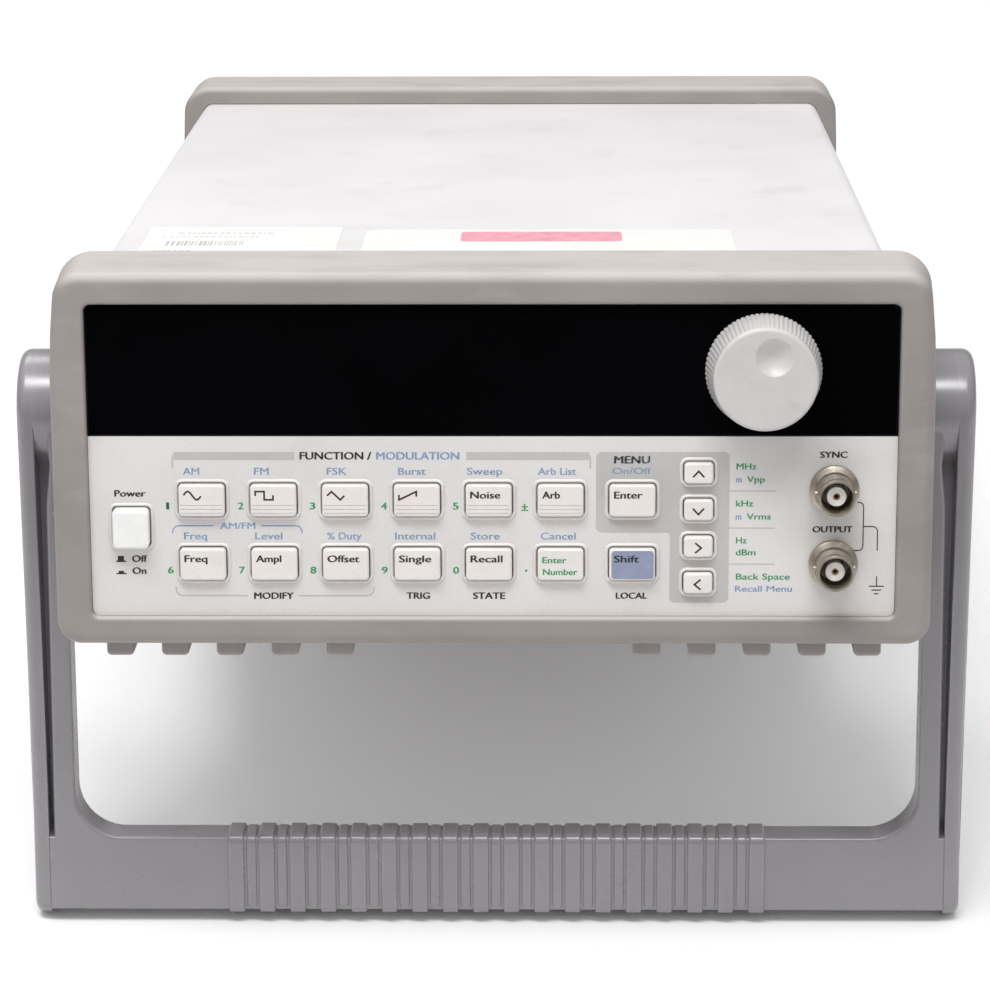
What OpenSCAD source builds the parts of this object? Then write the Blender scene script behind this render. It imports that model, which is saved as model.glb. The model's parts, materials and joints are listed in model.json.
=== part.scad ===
// Half-rack function generator, standing on its folding handle.
// Each module is drawn square to the instrument: X to the right, Y from the front to the back,
// Z up, with Y = 0 at the front edge and Z = 0 at half height. posed() then tips it back onto
// the handle and puts the origin on the floor, under the middle of the whole object.

/* [Instrument body] */
// Width of the metal cover
body_w = 212.6; // [210:0.2:214]
// Height of the metal cover
body_h = 88.5; // [87:0.5:90]
// Sheet thickness of the cover
cover_t = 1.2; // [0.8:0.1:1.4]
// Outer corner radius of the cover
cover_r = 3.7; // [2:0.1:5]
// Overall length over both bumpers
overall_l = 374; // [370:1:380]

/* [Bumpers] */
// Width of the rubber bumpers
bumper_w = 228.4; // [227:0.2:229]
// Height of the bumper top above the middle
bumper_top = 50; // [49:0.5:51]
// Depth of the bumper underside below the middle
bumper_bottom = 49.2; // [48.6:0.2:50]
// Front to back depth of the front bumper
front_bumper_d = 33; // [30:1:33]
// Front to back depth of the rear bumper
rear_bumper_d = 32; // [30:1:34]
// Corner radius seen from the front
bumper_r = 9.5; // [8:0.5:10]
// Radius of the front and rear edges
bumper_edge_r = 3.4; // [3:0.1:3.6]
// Width of one foot rib
foot_w = 7.2; // [6:0.2:8]
// Height of a foot rib below the bumper
foot_h = 4.2; // [3.6:0.2:4.4]
// Front to back length of a foot rib
foot_l = 24; // [20:1:26]
// Distance between neighbouring foot ribs
foot_pitch = 14.5; // [14:0.1:15]

/* [Front panel] */
// Width of the opening that shows the panel
opening_w = 209.8; // [209:0.1:210]
// Top edge of that opening
opening_top = 41.8; // [41:0.1:42]
// Bottom edge of that opening
opening_bottom = -41.5; // [-42:0.1:-41]
// Height of the line between window and keys
window_split = 6.8; // [6.4:0.1:7]
// Distance of the panel face behind the bumper's front edge
panel_y = 2; // [1.8:0.1:2.4]
// Thickness of the panel
panel_t = 3; // [2.8:0.1:3.2]

/* [Keys] */
// Width of a key cap
key_w = 12.4; // [12:0.1:12.6]
// Height of a key cap
key_h = 9.1; // [8.8:0.1:9.3]
// Distance between key columns
key_pitch = 18.64; // [18.5:0.02:18.8]
// Travel of a key
key_travel = 1; // [0.8:0.1:1]
// Width of an arrow key cap
arrow_w = 8.5; // [8:0.1:8.7]
// Height of an arrow key cap
arrow_h = 6.1; // [5.8:0.1:6.3]
// Width of the power button cap
power_w = 9.5; // [9:0.1:9.8]
// Height of the power button cap
power_h = 10.4; // [10:0.1:10.8]

/* [Tuning knob] */
// Diameter of the knob at the panel
knob_base_d = 30.2; // [29:0.1:31]
// Diameter of the knob's front face
knob_front_d = 24.6; // [24:0.1:25]
// Length of the knob
knob_l = 11.4; // [11:0.1:12]
// Diameter of the finger dimple
dimple_d = 10; // [9:0.1:10.5]

/* [Handle] */
// Half width over the handle's outer faces
handle_half_w = 127.4; // [127:0.1:128]
// Distance of the pivot behind the front edge
pivot_y = 48.5; // [48:0.5:50]
// Height of the pivot above the middle
pivot_z = 4; // [3:0.5:5]
// Radius of the handle's hub
hub_r = 15.9; // [15:0.1:16]
// Distance from the middle down to the ends of the arms
arm_bottom = 137.3; // [134:0.1:140]
// Width of a raised grip rib
rib_w = 4.4; // [4:0.1:4.6]
// Distance between raised grip ribs
rib_pitch = 8.43; // [8.2:0.01:8.6]
// Number of raised grip ribs
rib_count = 18; // [12:2:18]

/* [Hidden] */
$fn = 64;
eps = 0.02;
// body
half_w = body_w / 2;
half_h = body_h / 2;
bumper_h = bumper_top + bumper_bottom;
bumper_mid = (bumper_top - bumper_bottom) / 2;
rear_y = overall_l - rear_bumper_d;
cover_front = 8;
cover_back = overall_l - 12;
rear_panel_y = cover_back - 6;
rear_panel_t = 2;
wall_in = half_w - cover_t;
foot_first = 40.35;
foot_count = 5;
foot_r = 1.2;
foot_bottom = -bumper_bottom - foot_h;
rear_foot_y = overall_l - 4 - foot_l;
foot_inset = 5;
// panel layout
panel_back = panel_y + panel_t;
panel_mid_z = (opening_top + opening_bottom) / 2;
window_h = opening_top - window_split;
window_mid_z = (opening_top + window_split) / 2;
window_t = 2;
key_x0 = -75.5;
key_rows = [-9.65, -26.8];
key_front = 0;
key_back = panel_back + 2.2;
key_gap = 0.35;
key_r = 1;
key_flange = 1.2;
arrow_x = 53.5;
arrow_z0 = -2.45;
arrow_pitch = 9.85;
power_x = -94;
power_z = -17.3;
power_front = -1.6;
rod_r = 2;
knob_x = 69.9;
knob_z = 24.3;
knob_gap = 0.6;
knob_front = panel_y - knob_gap - knob_l;
dimple_ring_r = 6.2;
dimple_angle = 70;
dimple_depth = 1.7;
dimple_sphere_r = (dimple_d * dimple_d / 4 + dimple_depth * dimple_depth) / (2 * dimple_depth);
knurl_count = 72;
shaft_r = 3;
shaft_inset = 4;
bushing_r = 4.6;
knob_hole_r = 5.2;
// coaxial sockets
jack_x = 88.6;
jack_zs = [-7.1, -27.1];
jack_l = 10.6;
jack_front = panel_y - jack_l;
barrel_r = 4.8;
barrel_wall_l = 4.4;
neck_r = 4.45;
socket_bore_r = 4.05;
lug_r = 0.95;
lug_tip = 5.65;
lug_at = 5.4;
flange_r = 6.4;
flange_t = 1.8;
tail_r = 4.3;
tail_hole_r = 4.5;
insulator_r = 2.5;
contact_r = 0.9;
nut_t = 2.4;
// inside, near the front
board_y = 13;
board_t = 1.6;
tube_y = board_y - 7;
tube_x = -22;
// handle
arm_gap_r = 13;
plate_t = 4.4;
arm_front = pivot_y - hub_r + 0.4;
arm_depth = 13;
arm_end_r = 5;
wall_outer = handle_half_w - plate_t;
wall_inner = 115.6;
frame_depth = 10.6;
grip_top = -113.9;
grip_bottom = -135.2;
bush_r = 14;
pin_r = 6;
pin_fit = 0.05;
bush_out = 114.9;
pin_in = half_w + 1.2;
rib_proud = 0.9;
rib_r = 2.4;
web_w = 2.9;
web_proud = 0.45;
web_lift = 0.2;
core_l = 120;
// rear panel layout
inlet_x = -72;
inlet_z = 8;
inlet_w = 27.4;
inlet_h = 19.8;
drawer_z = inlet_z - 17.4;
fuse_l = 20;
fuse_r = 2.6;
fuse_y = rear_panel_y - 8;
fan_x = 55;
fan_z = -4;
fan_size = 60;
fan_d = 20;
fan_y = rear_panel_y - fan_d - 0.1;
fan_hub_r = 14;
fan_pin_r = 1.5;
blade_count = 7;
rear_jack_x = -20;
rear_jack_z = 24;
rear_jack_pitch = 22;
rear_jack_count = 2;
bus_x = -10;
bus_z = -2;
serial_x = -12;
serial_z = -27;
stud_x = -84;
stud_z = -32;
// inside
tray_t = 1.2;
floor_z = -half_h + cover_t + tray_t;
main_board_z = floor_z + 7;
main_board_y0 = 30;
main_board_y1 = rear_panel_y - 24;
transformer_x = 58;
transformer_y = 232;
switch_y = 96;
vent_count = 10;
vent_y0 = 190;
vent_pitch = 12;
vent_w = 4;
vent_h = 30;
vent_z = -28;
// openings in the panels
opening_r = 2;
panel_fit = 0.1;
sight_w = 132;
sight_h = 24;
rear_open_w = body_w - 6;
rear_open_h = body_h - 6;
rear_rim_y = rear_panel_y + rear_panel_t;
inlet_drawer_h = 13;
cavity_d = 15;
bus_w = 44;
bus_h = 13;
serial_w = 20;
serial_h = 9.6;
stud_r = 2;
// pose: the floor touches the rear foot ribs' back edge and the rounded arm ends
contact_y = arm_front + arm_depth - arm_end_r;
contact_z = -arm_bottom + arm_end_r;
heel_y = rear_foot_y + foot_l;
run = heel_y - contact_y;
rise = foot_bottom - contact_z;
tilt = atan2(rise, run) + asin(arm_end_r / sqrt(run * run + rise * rise));
floor_drop = heel_y * sin(tilt) - foot_bottom * cos(tilt);
front_reach = jack_front * cos(tilt) + (jack_zs[1] - 5) * sin(tilt);
back_reach = (overall_l - bumper_edge_r) * cos(tilt) + (bumper_top - bumper_edge_r) * sin(tilt)
    + bumper_edge_r;
centre_y = (front_reach + back_reach) / 2;

// Tips the instrument back and moves it over the origin.
module posed() {
    translate([0, -centre_y, floor_drop]) rotate([-tilt, 0, 0]) children();
}

// Extrudes a front-view outline (X and Z) backwards from y over depth d.
module slab(y, d) {
    translate([0, y + d, 0]) rotate([90, 0, 0]) linear_extrude(d) children();
}

// Extrudes a side-view outline (Y and Z) towards +X from x over width w.
module side(x, w) {
    translate([x, 0, 0]) rotate([90, 0, 90]) linear_extrude(w) children();
}

// Turns a cylinder or a profile so that its axis runs backwards from the point x, y, z.
module along_y(x, y, z) {
    translate([x, y, z]) rotate([-90, 0, 0]) children();
}

module rod(x, y, z, r, d) {
    along_y(x, y, z) cylinder(r = r, h = d);
}

// Rectangle with round corners, centred.
module round_rect(w, h, r) {
    square([w - 2 * r, h], center = true);
    square([w, h - 2 * r], center = true);
    for (sx = [-1, 1], sz = [-1, 1]) {
        translate([sx * (w / 2 - r), sz * (h / 2 - r)]) circle(r);
    }
}

// Block with corner radius r seen from the front, and all its other edges rounded by e.
module soft_slab(w, h, d, r, e) {
    for (sx = [-1, 1], sz = [-1, 1]) {
        along_y(sx * (w / 2 - r), 0, sz * (h / 2 - r)) rotate_extrude() {
            square([r - e, d]);
            translate([0, e]) square([r, d - 2 * e]);
            translate([r - e, e]) circle(e);
            translate([r - e, d - e]) circle(e);
        }
    }
    side(-w / 2 + r, w - 2 * r) translate([d / 2, 0]) round_rect(d, h, e);
    translate([0, d / 2, -h / 2 + r]) linear_extrude(h - 2 * r) round_rect(w, d, e);
}

// Row of foot ribs under one bumper, from y over foot_l.
module foot_ribs(y) {
    slab(y, foot_l) for (s = [-1, 1], i = [0:foot_count - 1]) {
        translate([s * (foot_first + i * foot_pitch), foot_bottom + foot_h / 2 + foot_r]) {
            round_rect(foot_w, foot_h + 2 * foot_r, foot_r);
        }
    }
}

// Everything behind the plane y.
module behind(y) {
    translate([-bumper_w, y, -bumper_w]) cube([2 * bumper_w, overall_l, 2 * bumper_w]);
}

// Everything in front of the plane y.
module ahead(y) {
    translate([-bumper_w, y - overall_l, -bumper_w]) cube([2 * bumper_w, overall_l, 2 * bumper_w]);
}

// Outline of the metal cover, made larger by grow.
module cover_outline(grow) {
    round_rect(body_w + 2 * grow, body_h + 2 * grow, cover_r + grow);
}

// Solid bumper block with its front face at the origin, long enough to cut off at depth d.
module bumper_body(d) {
    translate([0, 0, bumper_mid]) {
        soft_slab(bumper_w, bumper_h, d + 2 * bumper_edge_r, bumper_r, bumper_edge_r);
    }
}

module front_bumper() {
    color("#9a9692") posed() {
        difference() {
            bumper_body(front_bumper_d);
            behind(front_bumper_d);
            slab(-1, cover_front + 1 + eps) translate([0, panel_mid_z]) {
                round_rect(opening_w, opening_top - opening_bottom, opening_r);
            }
            slab(cover_front, front_bumper_d) cover_outline(0);
        }
        difference() {
            foot_ribs(foot_inset);
            slab(cover_front, front_bumper_d) cover_outline(0);
        }
    }
}

module rear_bumper() {
    color("#9a9692") posed() {
        difference() {
            translate([0, rear_y - 2 * bumper_edge_r, 0]) bumper_body(rear_bumper_d);
            ahead(rear_y);
            slab(rear_y - 1, cover_back - rear_y + 1) cover_outline(0);
            slab(cover_back - eps, rear_bumper_d) round_rect(rear_open_w, rear_open_h, 3);
        }
        difference() {
            foot_ribs(rear_foot_y);
            slab(rear_y - 1, cover_back - rear_y + 1) cover_outline(0);
        }
    }
}

module sleeve_cover() {
    color("#e6e4e2") posed() difference() {
        slab(cover_front, cover_back - cover_front) cover_outline(0);
        slab(cover_front - 1, overall_l) cover_outline(-cover_t);
        // holes that pass the handle's bushes
        translate([-body_w, pivot_y, pivot_z]) rotate([0, 90, 0]) cylinder(r = 8, h = 2 * body_w);
        vent_slots(half_w);
    }
}

// Rows of upright vent slots through the walls at -x and +x.
module vent_slots(x) {
    reach = 10;
    for (i = [0:vent_count - 1], s = [-1, 1]) {
        translate([s * x - reach / 2, vent_y0 + i * vent_pitch, vent_z]) cube([reach, vent_w, vent_h]);
    }
}

// Two blank stickers on top of the cover.
module cover_labels() {
    label_t = 0.2;
    small = [60, 56, label_t];
    large = [99.4, 57, label_t];
    color("#f4f4f2") posed() translate([0, 0, half_h]) {
        translate([-102, 40, 0]) cube(small);
        translate([-35.6, 36, 0]) cube(large);
    }
}

// Holes for the keys and the power button.
module panel_openings() {
    for (i = [0:6], z = key_rows) {
        translate([key_x0 + i * key_pitch, z]) {
            round_rect(key_w + 2 * key_gap, key_h + 2 * key_gap, key_r + key_gap);
        }
    }
    for (i = [0:3]) translate([arrow_x, arrow_z0 - i * arrow_pitch]) {
        round_rect(arrow_w + 2 * key_gap, arrow_h + 2 * key_gap, key_r + key_gap);
    }
    translate([power_x, power_z]) {
        round_rect(power_w + 2 * key_gap, power_h + 2 * key_gap, key_r + key_gap);
    }
}

module front_panel() {
    ear = [3, 60];
    ear_x = 102;
    pocket = [180, cover_front, 47];
    fit = 2 * panel_fit;
    color("#d2cecb") posed() difference() {
        union() {
            slab(panel_y, cover_front - panel_y) translate([0, panel_mid_z]) {
                round_rect(opening_w - fit, opening_top - opening_bottom - fit, opening_r - panel_fit);
            }
            // ears that screw to the chassis
            for (s = [-1, 1]) slab(cover_front - eps, 6) translate([s * ear_x, 0]) {
                square(ear, center = true);
            }
        }
        slab(0, cover_front) panel_openings();
        // pocket behind the keys for their flanges and the rubber mat
        translate([-100, panel_back - eps, -40.5]) cube(pocket);
        // seat of the window
        slab(panel_y - 1, 1 + window_t) translate([0, window_mid_z + 0.5]) {
            square([opening_w, window_h + 1], center = true);
        }
        // sight opening for the display
        slab(0, cover_front + 1) translate([tube_x, window_mid_z]) {
            square([sight_w, sight_h], center = true);
        }
        rod(knob_x, 0, knob_z, knob_hole_r, cover_front + 1);
        for (z = jack_zs) rod(jack_x, 0, z, tail_hole_r, cover_front + 1);
    }
}

// Glossy window with round top corners and square lower ones.
module display_window() {
    wide = opening_w - 2 * panel_fit;
    high = window_h - 2 * panel_fit;
    color("#0b0b0d") posed() difference() {
        slab(panel_y, window_t) translate([0, window_mid_z]) {
            round_rect(wide, high, opening_r - panel_fit);
            translate([0, -high / 4]) square([wide, high / 2], center = true);
        }
        rod(knob_x, 0, knob_z, knob_hole_r, cover_front);
    }
}

// Fluorescent display: glass body and the thinner step that carries its leads.
module display_tube() {
    glass = [128, 6, 22];
    step = [120, 1 + eps, 18];
    color("#20282a") posed() translate([tube_x, 0, window_mid_z]) {
        translate([-glass[0] / 2, tube_y, -glass[2] / 2]) cube(glass);
        translate([-step[0] / 2, tube_y + glass[1] - eps, -step[2] / 2]) cube(step);
    }
}

module front_circuit_board() {
    board = [200, board_t, 79];
    through = board_t + 2;
    color("#2c6a42") posed() difference() {
        translate([-board[0] / 2, board_y, -40]) cube(board);
        rod(knob_x, board_y - 1, knob_z, knob_hole_r, through);
        for (z = jack_zs) rod(jack_x, board_y - 1, z, flange_r + 0.6, through);
        slab(board_y - 1, through) translate([power_x, power_z]) square([10, 11], center = true);
    }
}

// Rubber mat with one dome under each key.
module keypad_mat() {
    sheet = [150, 1.35, 42];
    mat_y = board_y - sheet[1] - 0.05;
    dome_y = key_back + key_travel + 0.1;
    dome_l = mat_y - dome_y + eps;
    color("#b8b6b0") posed() {
        translate([-86, mat_y, -38]) cube(sheet);
        for (i = [0:6], z = key_rows) rod(key_x0 + i * key_pitch, dome_y, z, 3, dome_l);
        for (i = [0:3]) rod(arrow_x, dome_y, arrow_z0 - i * arrow_pitch, 2.4, dome_l);
    }
}

// One key cap with its flange behind the panel.
module key_cap(x, z, w, h) {
    translate([x, 0, z]) {
        slab(key_front + 0.5, key_back - key_front - 0.5) round_rect(w, h, key_r);
        slab(key_front, 1) round_rect(w - 0.9, h - 0.9, key_r);
        slab(panel_back + 0.6, key_flange) round_rect(w + 2, h + 2, key_r);
    }
}

module main_key(column, row) {
    posed() key_cap(key_x0 + column * key_pitch, key_rows[row], key_w, key_h);
}

module arrow_key(place) {
    posed() key_cap(arrow_x, arrow_z0 - place * arrow_pitch, arrow_w, arrow_h);
}

module key_sine() { color("#ece6e2") main_key(0, 0); }
module key_square() { color("#ece6e2") main_key(1, 0); }
module key_triangle() { color("#ece6e2") main_key(2, 0); }
module key_ramp() { color("#ece6e2") main_key(3, 0); }
module key_noise() { color("#ece6e2") main_key(4, 0); }
module key_arb() { color("#ece6e2") main_key(5, 0); }
module key_enter() { color("#ece6e2") main_key(6, 0); }
module key_freq() { color("#ece6e2") main_key(0, 1); }
module key_ampl() { color("#ece6e2") main_key(1, 1); }
module key_offset() { color("#ece6e2") main_key(2, 1); }
module key_single() { color("#ece6e2") main_key(3, 1); }
module key_recall() { color("#ece6e2") main_key(4, 1); }
module key_enter_number() { color("#ece6e2") main_key(5, 1); }
module key_shift() { color("#ece6e2") main_key(6, 1); }
module key_up() { color("#ece6e2") arrow_key(0); }
module key_down() { color("#ece6e2") arrow_key(1); }
module key_right() { color("#ece6e2") arrow_key(2); }
module key_left() { color("#ece6e2") arrow_key(3); }

module power_button() {
    color("#f6f4f2") posed() difference() {
        translate([power_x, 0, power_z]) {
            slab(power_front + 0.6, panel_back + 3.4 - power_front) {
                round_rect(power_w, power_h, key_r);
            }
            slab(power_front, 1) round_rect(power_w - 1, power_h - 1, key_r);
        }
        rod(power_x, panel_back - 1, power_z, rod_r + 0.2, 20);
    }
}

// Long rod from the button back to the switch on the main board.
module power_push_rod() {
    color("#d8d6d2") posed() rod(power_x, panel_back - 0.95, power_z, rod_r, switch_y - panel_back - 1);
}

module power_switch() {
    base_z = main_board_z + board_t;
    case = [16, 34, power_z - base_z + 7];
    mouth = [8, 14, 8];
    color("#3a3a3c") posed() difference() {
        translate([power_x - case[0] / 2, switch_y, base_z]) cube(case);
        translate([power_x - mouth[0] / 2, switch_y - 1, power_z - mouth[2] / 2]) cube(mouth);
    }
}

// Body and bushing of the encoder behind the tuning knob.
module knob_encoder() {
    case = [16, 4.7, 16];
    color("#8d9094") posed() difference() {
        union() {
            translate([knob_x - case[0] / 2, board_y - case[1] - 0.1, knob_z - case[2] / 2]) cube(case);
            rod(knob_x, panel_y + 0.3, knob_z, bushing_r, board_y - 5 - panel_y);
        }
        rod(knob_x, 0, knob_z, shaft_r + 0.05, 20);
    }
}

module encoder_shaft() {
    front = knob_front + shaft_inset;
    color("#b9bcc0") posed() rod(knob_x, front, knob_z, shaft_r, board_y - 0.6 - front);
}

// Tapered, fluted knob with a finger dimple near its rim.
module tuning_knob() {
    base_r = knob_base_d / 2;
    front_r = knob_front_d / 2;
    edge = 1;
    flute_r = 0.45;
    flute_out = 0.15;
    relief_l = 1.5;
    relief = [6, 12];
    lean = atan2(base_r - front_r, knob_l - edge);
    color("#cfccca") posed() difference() {
        along_y(knob_x, knob_front, knob_z) rotate_extrude() {
            polygon([[0, 0], [front_r - edge, 0], [front_r, edge], [base_r, knob_l], [0, knob_l]]);
        }
        // ring-shaped relief in the back
        along_y(knob_x, knob_front + knob_l - relief_l, knob_z) rotate_extrude() {
            translate([relief[0], 0]) square([relief[1] - relief[0], 2 * relief_l]);
        }
        along_y(knob_x, knob_front, knob_z) {
            for (i = [0:knurl_count - 1]) rotate(i * 360 / knurl_count) {
                translate([front_r + flute_out, 0, edge]) rotate([0, lean, 0]) {
                    cylinder(r = flute_r, h = knob_l + 2, $fn = 16);
                }
            }
        }
        translate([knob_x, knob_front, knob_z]) rotate([0, -dimple_angle, 0]) {
            translate([dimple_ring_r, dimple_depth - dimple_sphere_r, 0]) sphere(r = dimple_sphere_r);
        }
        rod(knob_x, knob_front + shaft_inset - 0.1, knob_z, shaft_r, knob_l);
    }
}

// Socket shell from its open end: smooth barrel, neck with two bayonet lugs, flange that stands on
// the panel at barrel_l, and a tail of length tail_l through the panel.
module jack_shell(barrel_l, tail_l) {
    difference() {
        union() {
            cylinder(r = barrel_r, h = barrel_wall_l);
            cylinder(r = neck_r, h = barrel_l);
            translate([0, 0, barrel_l - flange_t - 1.2]) cylinder(r1 = neck_r, r2 = flange_r, h = 1.2);
            translate([0, 0, barrel_l - flange_t]) cylinder(r = flange_r, h = flange_t);
            translate([0, 0, barrel_l - eps]) cylinder(r = tail_r, h = tail_l);
            for (a = [0, 180]) rotate(a) translate([neck_r - 0.15, 0, lug_at]) rotate([0, 90, 0]) {
                cylinder(r = lug_r, h = lug_tip - neck_r + 0.15);
            }
        }
        translate([0, 0, -1]) cylinder(r = socket_bore_r, h = barrel_l);
        cylinder(r = insulator_r + 0.05, h = barrel_l + tail_l + 1);
    }
}

module sync_jack() {
    color("#b6b2aa") posed() along_y(jack_x, jack_front, jack_zs[0]) jack_shell(jack_l, 12);
}

module output_jack() {
    color("#b6b2aa") posed() along_y(jack_x, jack_front, jack_zs[1]) jack_shell(jack_l, 12);
}

// Places a child at each rear socket, with its open end at the child's origin.
module at_rear_jacks() {
    for (i = [0:rear_jack_count - 1]) {
        translate([rear_jack_x + i * rear_jack_pitch, rear_rim_y + jack_l, rear_jack_z]) {
            rotate([90, 0, 0]) children();
        }
    }
}

// Places a child at both front sockets and at each rear socket.
module at_all_jacks() {
    for (z = jack_zs) along_y(jack_x, jack_front, z) children();
    at_rear_jacks() children();
}

module rear_jacks() {
    color("#b6b2aa") posed() at_rear_jacks() jack_shell(jack_l, 10);
}

module jack_insulators() {
    color("#efece4") posed() at_all_jacks() difference() {
        union() {
            translate([0, 0, 2.2]) cylinder(r = insulator_r, h = 17.4);
        }
        cylinder(r = contact_r + 0.05, h = 40);
    }
}

module jack_contacts() {
    color("#c9a34a") posed() at_all_jacks() difference() {
        translate([0, 0, 2.6]) cylinder(r = contact_r, h = 19.5);
        cylinder(r = contact_r - 0.4, h = 6);
    }
}

module jack_nuts() {
    color("#a8a49c") posed() {
        for (z = jack_zs) along_y(jack_x, cover_front + 0.1, z) nut_ring();
        at_rear_jacks() translate([0, 0, jack_l + rear_panel_t + 0.1]) nut_ring();
    }
}

module nut_ring() {
    difference() {
        cylinder(r = flange_r + 0.5, h = nut_t, $fn = 6);
        translate([0, 0, -1]) cylinder(r = tail_r + 0.05, h = nut_t + 2);
    }
}

// Side outline of one arm: round hub, straight front edge, tapering back edge, rounded end.
module arm_outline() {
    end_z = -arm_bottom + arm_end_r;
    translate([pivot_y, pivot_z]) circle(hub_r);
    polygon([[pivot_y - hub_r, pivot_z], [arm_front, end_z], [arm_front + arm_depth, end_z],
        [pivot_y + hub_r, pivot_z]]);
    for (y = [arm_front + arm_end_r, arm_front + arm_depth - arm_end_r]) {
        translate([y, end_z]) circle(arm_end_r);
    }
    translate([arm_front + arm_end_r, -arm_bottom]) square([arm_depth - 2 * arm_end_r, arm_end_r]);
}

// Front outline of the U frame between the two outer plates.
module u_outline() {
    open_top = pivot_z + 40;
    difference() {
        translate([-wall_outer, grip_bottom]) square([2 * wall_outer, pivot_z - grip_bottom]);
        translate([0, (open_top + grip_top) / 2]) {
            round_rect(2 * wall_inner, open_top - grip_top, arm_gap_r);
        }
    }
}

// Groove between the outer plate and the inner wall, narrowing towards the grip.
module groove_outline() {
    polygon([[-wall_outer, 2], [-wall_outer + 3.6, -9], [-wall_outer + 2.4, -20],
        [-wall_outer + 1.3, grip_top], [-wall_outer, grip_top]]);
}

// Side outline of the grip bar, made larger by grow.
module rib_outline(grow) {
    translate([arm_front + frame_depth / 2, (grip_top + grip_bottom) / 2]) {
        round_rect(frame_depth + 2 * grow, grip_top - grip_bottom + 2 * grow, rib_r);
    }
}

module handle() {
    color("#96949c") posed() {
        difference() {
            union() {
                for (s = [0, 1]) mirror([s, 0, 0]) {
                    side(-handle_half_w, plate_t) arm_outline();
                    translate([-handle_half_w + plate_t - eps, pivot_y, pivot_z]) rotate([0, 90, 0]) {
                        cylinder(r = hub_r, h = handle_half_w - plate_t - wall_inner);
                    }
                }
                slab(arm_front, frame_depth) u_outline();
                side(-core_l / 2, core_l) rib_outline(0);
            }
            for (s = [0, 1]) mirror([s, 0, 0]) slab(arm_front - 1, frame_depth - 2) groove_outline();
        }
        for (s = [-1, 1]) translate([s * (handle_half_w - plate_t), pivot_y, pivot_z]) {
            rotate([0, -s * 90, 0]) cylinder(r = pin_r - pin_fit, h = handle_half_w - plate_t - pin_in);
        }
        for (i = [0:rib_count - 1]) {
            side((i - (rib_count - 1) / 2) * rib_pitch - rib_w / 2, rib_w) rib_outline(rib_proud);
        }
        // lower webs between the ribs
        for (i = [0:rib_count - 2]) {
            side((i - rib_count / 2 + 1) * rib_pitch - web_w / 2, web_w) {
                translate([0, web_lift]) rib_outline(web_proud);
            }
        }
    }
}

// Bearing bushes on the sides of the chassis, one for each hub pin.
module handle_bushes() {
    color("#55565a") posed() for (s = [0, 1]) mirror([s, 0, 0]) translate([0, pivot_y, pivot_z]) {
        difference() {
            union() {
                translate([half_w + eps, 0, 0]) rotate([0, 90, 0]) {
                    cylinder(r = bush_r, h = bush_out - half_w - eps);
                }
                translate([wall_in - 2, 0, 0]) rotate([0, 90, 0]) cylinder(r = 7.9, h = 5);
            }
            translate([half_w - 20, 0, 0]) rotate([0, 90, 0]) cylinder(r = pin_r, h = 40);
        }
    }
}

// Folded sheet tray: floor and side flanges.
module chassis_tray() {
    tray_w = body_w - 2 * cover_t - 1;
    tray_y0 = cover_front + 7;
    tray_l = rear_panel_y - tray_y0 - 0.1;
    side_h = body_h - 2 * cover_t - 3;
    color("#b9bdc0") posed() difference() {
        intersection() {
            translate([-tray_w / 2, tray_y0, floor_z - 1]) cube([tray_w, tray_l, side_h]);
            slab(tray_y0, tray_l) cover_outline(-cover_t - 0.1);
        }
        translate([-tray_w / 2 + tray_t, tray_y0 - 1, floor_z + tray_t - 1]) {
            cube([tray_w - 2 * tray_t, tray_l + 2, side_h]);
        }
        // clearance for the bushes
        translate([-body_w, pivot_y, pivot_z]) rotate([0, 90, 0]) cylinder(r = 8.2, h = 2 * body_w);
        vent_slots(tray_w / 2);
    }
}

module rear_panel() {
    fit = 2 * cover_t + 0.2;
    through = rear_panel_t + 3;
    grille_pitch = 4.4;
    grille_slot = [3, fan_size];
    color("#c4c6c8") posed() difference() {
        slab(rear_panel_y, rear_panel_t) round_rect(body_w - fit, body_h - fit, cover_r - cover_t - 0.1);
        slab(rear_panel_y - 1, through) {
            translate([inlet_x, inlet_z]) square([inlet_w, inlet_h], center = true);
            translate([inlet_x, drawer_z]) square([inlet_w, inlet_drawer_h], center = true);
            translate([bus_x, bus_z]) square([bus_w + 2, bus_h + 0.4], center = true);
            translate([serial_x, serial_z]) square([serial_w + 1, serial_h + 0.8], center = true);
            intersection() {
                translate([fan_x, fan_z]) circle(fan_size / 2 - 2);
                for (i = [-6:6]) translate([fan_x + i * grille_pitch, fan_z]) {
                    square(grille_slot, center = true);
                }
            }
        }
        at_rear_jacks() translate([0, 0, jack_l - 1]) cylinder(r = tail_hole_r, h = through);
        rod(stud_x, rear_panel_y - 1, stud_z, stud_r + 0.05, through);
    }
}

module rear_panel_screws() {
    color("#9fa2a6") posed() for (sx = [-1, 1], sz = [-1, 1]) {
        translate([sx * 97, rear_rim_y, sz * 36]) rotate([-90, 0, 0]) difference() {
            intersection() {
                cylinder(r = 3, h = 1.8);
                translate([0, 0, -2.6]) sphere(r = 4.4);
            }
            for (a = [0, 90]) rotate(a) translate([-1.8, -0.4, 1]) cube([3.6, 0.8, 2]);
        }
    }
}

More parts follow.
